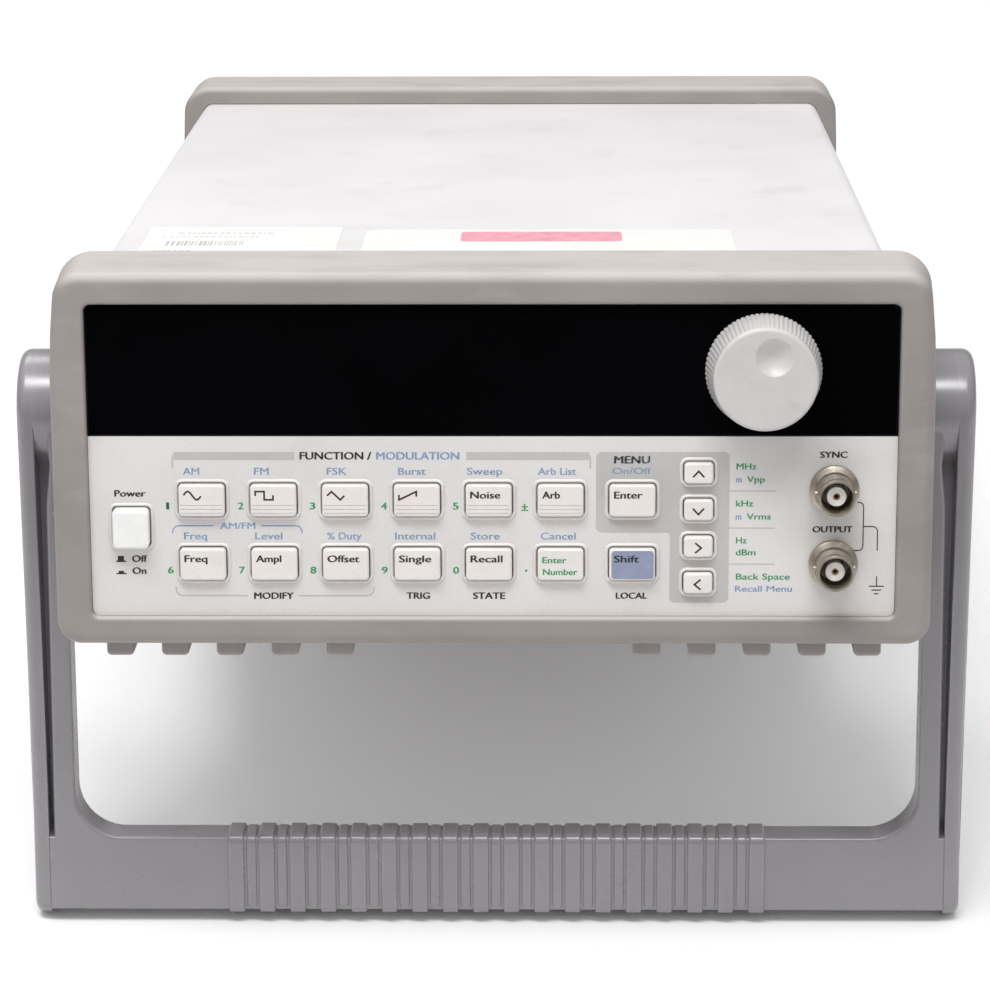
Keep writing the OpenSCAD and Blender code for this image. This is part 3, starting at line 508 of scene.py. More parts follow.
def key_plastic():
    s = base_surface("key_plastic", (0.78, 0.74, 0.71), 0.42, cloud=9, spread=0.025, grain=0.3,
        grain_depth=0.010)
    soil(s, (0.58, 0.54, 0.50), 5, 0.60, 0.78, 0.25)
    return rubbed_edges(s, (0.86, 0.83, 0.80), 0.5, 0.4)


def violet_print():
    s = base_surface("violet_print", (0.275, 0.305, 0.43), 0.45, cloud=6, spread=0.05, grain=0.3)
    return soil(s, (0.40, 0.42, 0.58), 3, 0.58, 0.74, 0.3)


def dark_plastic():
    s = base_surface("dark_plastic", (0.035, 0.035, 0.038), 0.5, spread=0.1, grain=0.5)
    return rubbed_edges(s, (0.10, 0.10, 0.10), 0.5, 0.4)


def white_plastic():
    return base_surface("white_plastic", (0.66, 0.65, 0.62), 0.45, grain=0.5)


def jack_metal():
    s = base_surface("jack_metal", (0.41, 0.37, 0.31), 0.45, cloud=3, spread=0.10, speck=0.3,
        speck_spread=0.12, grain=0.25, grain_depth=0.02, metallic=1.0, rough_spread=0.12)
    return soil(s, (0.22, 0.19, 0.15), 2.5, 0.52, 0.72, 0.55)


def insulator():
    s = base_surface("insulator", (0.80, 0.77, 0.72), 0.4, cloud=2, spread=0.05, grain=0.3)
    return soil(s, (0.55, 0.48, 0.42), 1.5, 0.56, 0.72, 0.4)


def contact():
    return base_surface("contact", (0.34, 0.21, 0.11), 0.4, cloud=1, spread=0.15, metallic=1.0)


def handle_plastic():
    s = base_surface("handle_plastic", (0.245, 0.232, 0.25), 0.25, cloud=45, spread=0.05, grain=0.45,
        grain_depth=0.008, grain_strength=0.2, rough_spread=0.05, specular_ior_level=1.0)
    soil(s, (0.20, 0.19, 0.195), 10, 0.50, 0.80, 0.20)
    soil(s, (0.07, 0.068, 0.065), 2.2, 0.72, 0.82, 0.35, seed=21.0, stretch=(0.6, 1, 1.6))
    return rubbed_edges(s, (0.36, 0.345, 0.36), 1.0, 0.25)


def bush_plastic():
    return base_surface("bush_plastic", (0.09, 0.09, 0.10), 0.55, spread=0.1)


def sheet_metal():
    return base_surface("sheet_metal", (0.55, 0.57, 0.58), 0.38, cloud=12, spread=0.12, metallic=1.0)


def rear_paint():
    s = base_surface("rear_paint", (0.50, 0.50, 0.50), 0.5, grain=0.6, grain_depth=0.03)
    return rubbed_edges(s, (0.68, 0.68, 0.68), 0.6, 0.4)


def capacitor():
    s = base_surface("capacitor", (0.03, 0.04, 0.10), 0.35, spread=0.15)
    return soil(s, (0.10, 0.11, 0.16), 8, 0.6, 0.7, 0.5)


def transformer():
    s = base_surface("transformer", (0.16, 0.16, 0.17), 0.5, spread=0.15, metallic=0.6)
    s.bump(s.noise(0.5, 2, stretch=(0.1, 1, 1)), 0.5, 0.1)
    return s


def cable():
    s = base_surface("cable", (0.40, 0.42, 0.45), 0.5)
    wave = s.node("ShaderNodeTexWave", {"Vector": s.place, "Scale": 390.0}, wave_type="BANDS",
        bands_direction="X")
    s.bump(wave.outputs["Fac"], 0.6, 0.2)
    return s


def fuse_glass():
    return base_surface("fuse_glass", (0.80, 0.83, 0.83), 0.1, transmission_weight=0.6)


def ink(name, color):
    return base_surface(name, color, 0.5, cloud=4, spread=0.10, speck=0.25, speck_spread=0.15,
        grain=0.2, grain_depth=0.005)


def make_materials():
    makers = (bumper_rubber, cover_paint, label, panel_plastic, rim_plastic, gray_print, window,
        display_glass, circuit_board, key_mat, metal, knob_plastic, power_cap, key_plastic, violet_print,
        dark_plastic, white_plastic, jack_metal, insulator, contact, handle_plastic, bush_plastic,
        sheet_metal, rear_paint, capacitor, transformer, cable, fuse_glass)
    made = {maker.__name__: maker().material for maker in makers}
    made["shift_key"] = made["key_plastic"]
    inks = {"black_ink": (0.018, 0.017, 0.018), "blue_ink": (0.21, 0.30, 0.46),
        "green_ink": (0.03, 0.27, 0.095), "pink_ink": (0.74, 0.33, 0.39)}
    for name, color in inks.items():
        made[name] = ink(name, color).material
    return made


MAT = make_materials()


def paint_cad_nodes():
    """The record's material slots become the finished materials on the CAD nodes."""
    for node in NODES.values():
        for place in node.material_slots:
            slot = place.material.name.split(".")[0]
            place.material = MAT[slot]


# ---------------------------------------------------------------- bumpers
SEAM, SEAM_DEEP, REAR_RIM = 0.3, 0.4, 6.0


def with_legs(corners):
    """Rounded rectangle with extra points spread over its two upright sides."""
    n = len(corners) // 4
    legs = []
    for start, end in ((corners[2 * n - 1], corners[2 * n]), (corners[-1], corners[0])):
        legs.append([tuple(Vector(start).lerp(Vector(end), i / 8)) for i in range(1, 8)])
    return corners[:2 * n] + legs[0] + corners[2 * n:] + legs[1]


def outer_ring(y, d, w, r, lean):
    """Bumper outline at depth y, drawn in by d, with sides that lean in towards the top corners."""
    mid = (BUMPER_TOP + BUMPER_BOTTOM) / 2
    outline = with_legs(rounded(w - 2 * d, BUMPER_TOP - BUMPER_BOTTOM - 2 * d, max(r - d, 1), 0, mid, 10))
    points = []
    for u, v in outline:
        rise = max(0.0, (v - (BUMPER_TOP - LEAN_L)) / LEAN_L)
        points.append((u - math.copysign(lean * rise ** 2, u), y, v))
    return points


def front_ring(y, d):
    """Outline of the front bumper, which widens from its front edge to the cover."""
    far = y / FRONT_D
    return outer_ring(y, d, BUMPER_W + 3.0 * far, BUMPER_R + 4.0 * far, 2.4 * (1 - far))


def rear_ring(y, d):
    return outer_ring(y, d, BUMPER_W - 1.4, 8.5, 1.0)


def ring_at(w, h, r, z, y):
    return [(u, y, v) for u, v in with_legs(rounded(w, h, r, 0, z, 10))]


def feet(y):
    """Two rows of five foot ribs, rooted a little inside the bumper."""
    parts = []
    bottom, top = BUMPER_BOTTOM - FOOT_H, BUMPER_BOTTOM + 1.2
    for side in (-1, 1):
        for i in range(5):
            x = side * (FOOT_FIRST + i * FOOT_PITCH)
            x0, x1 = x - FOOT_W / 2, x + FOOT_W / 2
            outline = fillet([(x0, bottom), (x1, bottom), (x1, top), (x0, top)], [1.3, 1.3, 0.1, 0.1])
            parts.append(prism(outline, y, y + FOOT_L, 1.0, 1.0))
    return parts


def front_bumper():
    # from the front face's outer edge back to the full outline, then forward inside it
    rings = [front_ring(BUMPER_EDGE * t, BUMPER_EDGE * d) for t, d in reversed(quarter_round(6))]
    rear = FRONT_D
    rings += [front_ring(rear - 0.8, 0), front_ring(rear - 0.25, 0.2), front_ring(rear, 0.8)]
    rings.append(ring_at(BODY_W + 2 * SEAM, BODY_H + 2 * SEAM, BODY_R, 0, rear))
    rings.append(ring_at(BODY_W, BODY_H, BODY_R, 0, rear - SEAM_DEEP))
    rings.append(ring_at(BODY_W, BODY_H, BODY_R, 0, COVER_FRONT))
    mid = (PANEL_TOP + PANEL_BOTTOM) / 2
    h = PANEL_TOP - PANEL_BOTTOM
    rings.append(ring_at(PANEL_W, h, 2, mid, COVER_FRONT))
    lip = 1.1
    for t, d in quarter_round(4):
        grow = 2 * lip * d
        rings.append(ring_at(PANEL_W + grow, h + grow, 2 + grow / 2, mid, lip * t))
    obj = piece("bumper_front_shell", [skin(rings, loop=True)] + feet(5), "instrument",
        MAT["bumper_rubber"])
    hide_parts("front_bumper")


def rear_bumper():
    start, end = OVERALL_L - REAR_D, OVERALL_L
    inner_w, inner_h = BODY_W - REAR_RIM, BODY_H - REAR_RIM
    edge = quarter_round(6)
    rings = [rear_ring(start + COVER_EDGE * t, COVER_EDGE * d) for t, d in reversed(edge)]
    rings += [rear_ring(end - BUMPER_EDGE * t, BUMPER_EDGE * d) for t, d in edge]
    rings.append(ring_at(inner_w + 1, inner_h + 1, 3.4, 0, end))
    rings.append(ring_at(inner_w, inner_h, 3, 0, end - 0.6))
    rings.append(ring_at(inner_w, inner_h, 3, 0, COVER_BACK))
    rings.append(ring_at(BODY_W, BODY_H, BODY_R, 0, COVER_BACK))
    rings.append(ring_at(BODY_W, BODY_H, BODY_R, 0, start + SEAM_DEEP))
    rings.append(ring_at(BODY_W + 2 * SEAM, BODY_H + 2 * SEAM, BODY_R, 0, start))
    obj = piece("bumper_rear_shell", [skin(rings, loop=True)] + feet(OVERALL_L - 4 - FOOT_L), "instrument",
        MAT["bumper_rubber"])
    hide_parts("rear_bumper")


# ---------------------------------------------------------------- stickers on the cover
FILM, SUNK = 0.2, 0.01


def mark(x0, x1, y0, y1):
    """Flat printed block on a sticker."""
    z = BODY_H / 2 + FILM
    return prism([(x0, y0), (x1, y0), (x1, y1), (x0, y1)], z - SUNK, z + INK, axis="z")


def print_dashes(draw, x0, x1, y, height, longest):
    """Row of short marks of uneven length that stands for a line of small type."""
    marks = []
    x = x0
    while x < x1:
        w = draw.uniform(0.5, longest)
        marks.append(mark(x, x + w, y, y + height))
        x += w + draw.uniform(0.4, 1.1)
    return marks


def bar_marks(draw, x0, x1, y0, y1):
    """Plain upright bars of three widths."""
    marks = []
    x = x0
    while x < x1:
        w = draw.choice((0.3, 0.5, 0.8))
        marks.append(mark(x, x + w, y0, y1))
        x += w + draw.choice((0.4, 0.7))
    return marks


def stickers():
    top = BODY_H / 2
    left = fillet([(-97.5, 40), (-43.5, 40), (-43.5, 99), (-97.5, 99)], 1.5)
    right = fillet([(-36.7, 36), (65.2, 36), (65.2, 95), (-36.7, 95)], 4)
    films = [prism(outline, top, top + FILM, axis="z") for outline in (left, right)]
    obj = piece("sticker_film", films, "instrument", MAT["label"])
    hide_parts("cover_labels")
    draw = random.Random(5)
    marks = bar_marks(draw, -91.0, -70, 70, 77)
    # each row: left, right, front edge, height and longest mark
    rows = ((-89, -64, 88.5, 1.3, 1.6), (-93, -66, 83.0, 1.0, 1.2), (-93.5, -84, 57, 6.0, 1.0),
        (-80, -48, 60, 1.3, 1.8), (-26.6, 57, 60.5, 1.6, 3.5), (-22, 50, 54, 1.6, 3.5))
    for row in rows:
        marks += print_dashes(draw, *row)
    piece("sticker_bars", marks, "instrument", MAT["gray_print"])
    band = fillet([(-10, 76), (34.7, 76), (34.7, 91), (-10, 91)], 2)
    block = prism(band, top + FILM - SUNK, top + FILM + INK, axis="z")
    piece("sticker_band", [block], "instrument", MAT["pink_ink"])


# ---------------------------------------------------------------- panel print and rims
def key_places():
    """Name, centre x, centre z, width and height of every key cap."""
    names = (("sine", "square", "triangle", "ramp", "noise", "arb", "enter"),
        ("freq", "ampl", "offset", "single", "recall", "enter_number", "shift"))
    places = []
    for row, z in enumerate(KEY_ROWS):
        for column, name in enumerate(names[row]):
            places.append((name, KEY_X0 + column * KEY_PITCH, z, KEY_W, KEY_H))
    for i, name in enumerate(("up", "down", "right", "left")):
        places.append((name, ARROW_X, ARROW_Z0 - i * ARROW_PITCH, ARROW_W, ARROW_H))
    return places


def all_openings():
    return [place[1:] for place in key_places()] + [(POWER_X, POWER_Z, POWER_W, POWER_H)]


def panel_rims():
    """Raised half-round rim around every key and the power button."""
    inner, outer, high = 0.22, 1.2, 0.6
    parts = []
    for x, z, w, h in all_openings():
        rings = [[(u, PANEL_Y + 0.6, v) for u, v in rounded(w + 2 * inner, h + 2 * inner, 1 + inner, x, z)]]
        steps = 6
        for k in range(steps + 1):
            a = math.pi * k / steps
            grow = inner + (outer - inner) * k / steps
            y = PANEL_Y - high * math.sin(a) ** 0.7
            rings.append([(u, y, v) for u, v in rounded(w + 2 * grow, h + 2 * grow, 1 + grow, x, z)])
        rings.append([(u, PANEL_Y + 0.6, v)
            for u, v in rounded(w + 2 * outer, h + 2 * outer, 1 + outer, x, z)])
        parts.append(skin(rings, loop=True))
    piece("panel_rims", parts, "instrument", MAT["rim_plastic"], sharp=60)


def rect(x0, z0, x1, z1, y=PANEL_Y, r=0.15):
    return prism(fillet([(x0, z0), (x1, z0), (x1, z1), (x0, z1)], r, 3), y - INK, y + INK)


def gray_blocks():
    """Printed grey fields behind the menu and arrow keys, the header bar and thin grey lines."""
    field = fillet([(26.9, -18.9), (46.1, -18.9), (46.1, -37.8), (61.5, -37.8), (61.5, 2.7), (26.9, 2.7)],
        [1.5, 0.8, 1.5, 1.5, 1.5, 1.5])
    holes = [prism(rounded(w + 1, h + 1, 1.4, x, z), PANEL_Y - 2, PANEL_Y + 2)
        for x, z, w, h in all_openings() if x > 30]
    obj = piece("print_gray_field", [prism(field, PANEL_Y - INK, PANEL_Y + INK)], "instrument",
        MAT["gray_print"])
    carve(obj, holes)
    parts = [rect(-82.6, 0.55, -51.3, 2.65), rect(-6.7, 0.55, 25.1, 2.65)]
    for x, side in ((-83.0, 1), (25.4, -1)):
        arc = [(x + side * 1.6, 2.4), (x + side * 0.5, 2.1), (x, 1.1), (x, -1.7)]
        parts.append(print_line(arc, 0.45, y=PANEL_Y - 0.4 * INK))
    brackets = ([(-82.9, -33.5), (-82.7, -35.0), (-81.9, -35.8), (-80.9, -36.0), (-64.0, -36.0)],
        [(-50.6, -36.0), (-33.0, -36.0), (-31.8, -35.7), (-31.2, -34.9), (-31.0, -33.6)])
    parts += [print_line(line, 0.4) for line in brackets]
    parts += [print_line([(61.4, z), (73.4, z)], 0.3) for z in (-7.7, -17.65, -27.35)]
    piece("print_gray_lines", parts, "instrument", MAT["gray_print"])


def black_legends():
    words = (("FUNCTION", -49.95, 0.65, 2.15, 16.6), ("/", -32.5, 0.6, 2.2, 1.25),
        ("Power", -98.35, -9.3, 1.9, 8.25), ("Off", -94.2, -26.9, 1.95, 4.05),
        ("On", -94.2, -30.15, 1.95, 3.7),
        ("MODIFY", -62.5, -36.9, 1.9, 10.45), ("TRIG", -22.6, -36.85, 1.9, 6.2),
        ("STATE", -5.2, -36.85, 1.9, 8.5), ("LOCAL", 32.1, -36.75, 1.8, 8.25),
        ("SYNC", 84.75, 1.15, 1.8, 7.15), ("OUTPUT", 83.1, -18.8, 1.8, 10.45))
    parts = [lettering(*word, bold=HEAVY) for word in words]
    parts.append(lettering("MENU", 31.5, -0.4, 2.2, 9.4, bold=0.3))
    # raised and pressed button signs
    parts += [rect(-98.35, -26.9, -95.75, -26.5), rect(-97.9, -26.6, -96.3, -25.25)]
    parts += [rect(-98.35, -30.2, -95.75, -29.85), rect(-97.8, -29.95, -96.4, -29.3)]
    # lead that joins the two sockets, its branch, and the earth sign
    leads = ([(94.7, -10.7), (95.5, -10.8), (96.1, -11.2), (96.3, -12.0), (96.3, -22.4), (96.1, -23.2),
        (95.5, -23.6), (93.7, -23.7)],
        [(96.3, -17.2), (98.8, -17.2), (99.6, -17.5), (100.0, -18.2), (100.05, -23.7)],
        [(100.05, -30.6), (100.05, -33.3)])
    parts += [print_line(lead, 0.28) for lead in leads]
    for z, half in ((-33.3, 1.95), (-34.35, 1.25), (-35.35, 0.6)):
        parts.append(print_line([(100.05 - half, z), (100.05 + half, z)], 0.3))
    piece("print_black", parts, "instrument", MAT["black_ink"])


def blue_legends():
    cap = 2.0
    upper = (("AM", -80.35, 4.3), ("FM", -61.85, 3.85), ("FSK", -42.95, 5.2), ("Burst", -24.45, 7.2),
        ("Sweep", -6.6, 9.25), ("Arb List", 11.8, 9.95))
    lower = (("Freq", -80.45, 6.05), ("Level", -61.9, 7.15), ("% Duty", -43.1, 9.0),
        ("Internal", -25.4, 10.5), ("Store", -5.7, 7.6), ("Cancel", 12.5, 9.15))
    others = (("AM/FM", -71.05, -17.95, 1.85, 9.3), ("On/Off", 31.1, -3.2, 1.85, 10.1),
        ("Recall Menu", 63.2, -34.8, 1.7, 14.9))
    parts = [lettering(word, x, -3.4, cap, w) for word, x, w in upper]
    parts += [lettering(word, x, -20.75, cap, w) for word, x, w in lower]
    parts.append(lettering("MODULATION", -30.1, 0.65, 2.15, 21.6, bold=0.2))
    parts += [lettering(*word) for word in others]
    brackets = ([(-83.4, -19.1), (-83.2, -18.0), (-82.6, -17.3), (-81.7, -17.1), (-72.8, -17.1)],
        [(-60.2, -17.1), (-51.3, -17.1), (-50.3, -17.3), (-49.8, -18.0), (-49.55, -19.1)])
    parts += [print_line(line, 0.3) for line in brackets]
    piece("print_blue", parts, "instrument", MAT["blue_ink"])


def green_legends():
    cap = 2.0
    parts = []
    for digits, z in (("12345", -12.7), ("67890", -30.0)):
        for i, digit in enumerate(digits):
            w, bold = (0.8, 0.0) if digit == "1" else (1.6, 0.18)
            parts.append(lettering(digit, -84.9 + i * KEY_PITCH, z, cap, w, bold=bold))
    parts.append(lettering("±", 7.5, -13.05, 2.3, 1.75))
    parts.append(rect(8.4, -29.45, 9.05, -28.85, r=0.25))
    units = (("MHz", 63.2, -1.95, 5.25), ("Vpp", 65.95, -5.4, 4.7), ("kHz", 63.2, -11.85, 4.5),
        ("Vrms", 66.0, -15.35, 6.3), ("Hz", 63.3, -21.75, 2.8), ("dBm", 63.25, -25.0, 5.2),
        ("Back Space", 63.4, -31.55, 14.1))
    parts += [lettering(word, x, z, 1.75, w) for word, x, z, w in units]
    piece("print_green", parts, "instrument", MAT["green_ink"])
    pale = [lettering("m", 63.15, z, 1.75, 1.5) for z in (-5.4, -15.35)]
    piece("print_milli", pale, "instrument", MAT["blue_ink"])


# ---------------------------------------------------------------- keys
def key_body(x, z, w, h):
    """Cap with soft front edges and a flange behind the panel."""
    rings = []
    taper, edge = 0.03, 0.6
    for out, deep in quarter_round(5):
        d = edge * out + taper
        rings.append([(u, edge * deep, v) for u, v in rounded(w - 2 * d, h - 2 * d, 1.0, x, z)])
    for grow, y in ((0, PANEL_Y + 0.5), (0, 5.6), (1, 5.6), (1, 6.8), (0, 6.8), (0, 7.2)):
        rings.append([(u, y, v) for u, v in rounded(w + 2 * grow, h + 2 * grow, 1.0 + grow, x, z)])
    return skin(rings)


def key_caps():
    """Every key cap, with three fine grooves across the waveform row."""
    side, half = 0.55, 0.14
    for name, x, z, w, h in key_places():
        node = "key_" + name
        obj = piece("cap_" + name, [key_body(x, z, w, h)], node, MAT["key_plastic"])
        if name in ("sine", "square", "triangle", "ramp", "noise", "arb"):
            grooves = []
            for drop in (1.22, 2.24, 3.32):
                x0, x1 = x - w / 2 + side, x + w / 2 - side
                z0, z1 = z - drop - half, z - drop + half
                grooves.append(prism([(x0, z0), (x1, z0), (x1, z1), (x0, z1)], -1, 0.16))
            carve(obj, grooves)
        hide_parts(node)


def key_legends():
    """Words, waveform signs and arrows printed on the caps."""
    places = {place[0]: place for place in key_places()}
    widths = {"Noise": 7.85, "Arb": 4.7, "Enter": 7.4, "Freq": 6.05, "Ampl": 6.7, "Offset": 8.4,
        "Single": 8.5, "Recall": 8.4, "Shift": 6.6}
    for word, width in widths.items():
        name = word.lower()
        x, z, w, h = places[name][1:]
        if name == "shift":
            patch = rounded(w - 1.0, h - 0.9, 0.9, x + 0.1, z)
            piece("patch_shift", [prism(patch, -0.012, 0.1)], "key_shift", MAT["violet_print"])
        print_on_cap(name, lettering(word, x - 4.8, z + 0.7, 2.0, width, y=0, bold=0.2))
    x, z = places["enter_number"][1:3]
    parts = [lettering("Enter", x - 4.75, z + 0.5, 1.75, 6.35, y=0),
        lettering("Number", x - 4.6, z - 2.7, 1.75, 9.0, y=0)]
    piece("legend_enter_number", parts, "key_enter_number", MAT["green_ink"])
    for name, line in (wave_signs() | arrow_signs()).items():
        x, z = places[name][1:3]
        print_on_cap(name, print_line([(x + u, z + v) for u, v in line], 0.46, y=0))


def print_on_cap(name, part):
    piece("legend_" + name, [part], "key_" + name, MAT["black_ink"])


def arrow_signs():
    """The four arrow heads, from the cap's centre."""
    arrows = {"up": [(-1.45, -0.75), (0, 0.85), (1.45, -0.75)],
        "down": [(-1.45, 0.75), (0, -0.85), (1.45, 0.75)],
        "right": [(-0.75, 1.35), (0.85, 0), (-0.75, -1.35)],
        "left": [(0.75, 1.35), (-0.85, 0), (0.75, -1.35)]}
    return {name: [(u - 0.1, v - 0.2) for u, v in line] for name, line in arrows.items()}


def wave_signs():
    """The four waveform signs, each about 4.6 wide, from the cap's centre."""
    x0, mid, high, wide = -4.6, 1.45, 1.1, 4.5
    sine = [(x0 + wide * i / 20, mid + high * math.sin(2 * math.pi * i / 20 * 0.96 + 0.1)) for i in range(21)]
    square = [(x0, mid - 0.1), (x0, mid + high), (x0 + 2.3, mid + high), (x0 + 2.3, mid - high),
        (x0 + 4.6, mid - high), (x0 + 4.6, mid + 0.1)]
    triangle = [(x0, mid), (x0 + 1.15, mid + high), (x0 + 3.4, mid - high), (x0 + 4.5, mid)]
    ramp = [(x0, mid + 0.25), (x0, mid - high), (x0 + 4.5, mid + high), (x0 + 4.5, mid - 0.25)]
    return {"sine": sine, "square": square, "triangle": triangle, "ramp": ramp}


def power_cap_piece():
    rings = []
    front, edge = -1.6, 0.9
    for out, deep in quarter_round(6):
        d = 2 * edge * out
        outline = rounded(POWER_W - d, POWER_H - d, 1.3, POWER_X, POWER_Z)
        rings.append([(u, front + edge * deep, v) for u, v in outline])
    rings.append([(u, 8.0, v) for u, v in rounded(POWER_W, POWER_H, 1.3, POWER_X, POWER_Z)])
    obj = piece("cap_power", [skin(rings)], "power", MAT["power_cap"])
    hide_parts("power_button")


# ---------------------------------------------------------------- tuning knob
def tuning_knob():
    """Front face with a round finger dimple, rolled edge and finely fluted, tapering side."""
    around, flutes, depth = 432, 72, 0.32
    edge = 1.1
    dimple_r, dimple_at, dimple_deep = 4.9, 6.2, 2.3
    lean = math.radians(70)
    dx, dz = dimple_at * math.cos(lean), dimple_at * math.sin(lean)
    flat = KNOB_FRONT_R - edge
    rows = [(0.3 + (flat - 0.3) * k / 36, 0.0, 0.0) for k in range(37)]
    rows += [(flat + edge * math.sin(a), edge * (1 - math.cos(a)), 0.0)
        for a in (math.radians(90 * k / 5) for k in range(1, 6))]
    start, end = edge + 0.1, KNOB_L
    rows += [(KNOB_FRONT_R + (KNOB_BASE_R - KNOB_FRONT_R) * t, start + (end - start) * t,
        min(1.0, t * 14)) for t in (k / 16 for k in range(17))]
    rings = []
    for r, y, flute in rows:
        ring = []
        for i in range(around):
            a = 2 * math.pi * i / around
            groove = flute * depth * max(0.0, math.cos(a * flutes)) ** 1.5
            x, z = (r - groove) * math.cos(a), (r - groove) * math.sin(a)
            off = math.hypot(x - dx, z - dz) / dimple_r
            dip = dimple_deep * (1 - off * off) if off < 1 else 0.0
            ring.append((KNOB_X + x, KNOB_FRONT + y + (dip if flute == 0 else 0.0), KNOB_Z + z))
        rings.append(ring)
    obj = piece("knob_fluted", [skin(rings)], "knob", MAT["knob_plastic"], sharp=50)
    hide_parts("tuning_knob")


# ---------------------------------------------------------------- sockets
def jacks():
    """Ridged socket shells with a stepped root and two locking lugs each."""
    ridge_pitch, root = 0.62, -1.8
    lug_r, lug_y, lug_x0, lug_x1, lug_edge = 0.95, -3.2, 4.3, 5.6, 0.25
    for node, z in zip(("sync_jack", "output_jack"), JACK_ZS):
        profile = [(4.05, 0.9), (4.05, JACK_FRONT + 0.35), (4.25, JACK_FRONT), (4.62, JACK_FRONT),
            (4.8, JACK_FRONT + 0.25), (4.8, JACK_FRONT + 1.6), (4.55, JACK_FRONT + 1.9)]
        y = JACK_FRONT + 2.2
        while y < root:
            profile += [(4.75, y + 0.05), (4.82, y + 0.22), (4.45, y + 0.5)]
            y += ridge_pitch
        profile += [(5.3, -1.5), (5.15, -1.2), (5.7, -0.9), (5.55, -0.6), (6.1, -0.3), (5.95, 0.0)]
        profile += [(6.4, 0.3), (6.4, 1.6), (6.1, PANEL_Y), (4.3, PANEL_Y), (4.3, 14), (2.6, 14), (2.6, 1.0)]
        lugs = []
        for side in (-1, 1):
            outline = [(lug_r * math.cos(a) + lug_y, lug_r * math.sin(a) + z)
                for a in (2 * math.pi * i / 20 for i in range(20))]
            x0, x1 = sorted((JACK_X + side * lug_x0, JACK_X + side * lug_x1))
            lugs.append(prism(outline, x0, x1, lug_edge, lug_edge, axis="x"))
        shell = lathe(profile, JACK_X, z, 96, loop=True)
        obj = piece("socket_" + node, [shell] + lugs, "instrument", MAT["jack_metal"])
        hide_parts(node)


# ---------------------------------------------------------------- handle
def arm_outline(steps=40):
    """Side view of one arm (y, z): round hub, tapering leg and rounded end, anticlockwise."""
    points = []
    for i in range(steps + 1):
        a = math.pi * i / steps
        points.append((PIVOT_Y + HUB_R * math.cos(a), PIVOT_Z + HUB_R * math.sin(a)))
    end_z = ARM_BOTTOM + ARM_END_R
    for i in range(1, 12):
        t = i / 12
        points.append((PIVOT_Y - HUB_R + (ARM_FRONT - PIVOT_Y + HUB_R) * t, PIVOT_Z + (end_z - PIVOT_Z) * t))
    for centre, start in (((ARM_FRONT + ARM_END_R), 180), ((ARM_FRONT + ARM_D - ARM_END_R), 270)):
        for i in range(9):
            a = math.radians(start + 90 * i / 8)
            points.append((centre + ARM_END_R * math.cos(a), end_z + ARM_END_R * math.sin(a)))
    for i in range(1, 12):
        t = i / 12
        y = ARM_FRONT + ARM_D + (PIVOT_Y + HUB_R - ARM_FRONT - ARM_D) * t
        points.append((y, end_z + (PIVOT_Z - end_z) * t))
    return points


def mirrored(part):
    verts, faces = part
    return [(-x, y, z) for x, y, z in verts], faces


def splayed(part):
    """Lets the arms lean outwards a little from the grip up to the hubs."""
    verts, faces = part
    moved = []
    for x, y, z in verts:
        up = (z - GRIP_BOTTOM) / (PIVOT_Z - GRIP_BOTTOM)
        share = max(0.0, min(1.0, (abs(x) - WALL_INNER) / (HANDLE_HALF - WALL_INNER)))
        lean = SPLAY_RIGHT if x > 0 else SPLAY_LEFT
        moved.append((x + math.copysign(share * (lean * up + SPLAY_GRIP), x), y, z))
    return moved, faces


def handle_frame_outline():
    """Front view of the U between the outer plates, anticlockwise, with the grooves left out."""
    outer = HANDLE_HALF - PLATE_T + 0.3
    right = [(outer, GRIP_BOTTOM), (outer, GRIP_TOP), (outer - 1.6, GRIP_TOP), (outer - 2.7, -20),
        (outer - 3.9, -9), (outer - 3.0, PIVOT_Z), (WALL_INNER, PIVOT_Z)]
    arc = []
    for i in range(13):
        a = math.radians(-90 * i / 12)
        arc.append((WALL_INNER - GAP_R + GAP_R * math.cos(a), GRIP_TOP + GAP_R + GAP_R * math.sin(a)))
    left = [(-x, z) for x, z in reversed(right + arc)]
    return right + arc + left


def pivot_circle(radius, count):
    """Circle about the handle's pivot, as (y, z)."""
    angles = [2 * math.pi * i / count for i in range(count)]
    return [(PIVOT_Y + radius * math.cos(a), PIVOT_Z + radius * math.sin(a)) for a in angles]


def grip_rib(grow, width, x, lift=0.0):
    """Raised band round the grip, centred on x."""
    mid_y, mid_z = ARM_FRONT + FRAME_D / 2, (GRIP_TOP + GRIP_BOTTOM) / 2 + lift
    outline = rounded(FRAME_D + 2 * grow, GRIP_TOP - GRIP_BOTTOM + 2 * grow, 2.4, mid_y, mid_z)
    return prism(outline, x - width / 2, x + width / 2, 0.6, 0.6, axis="x")


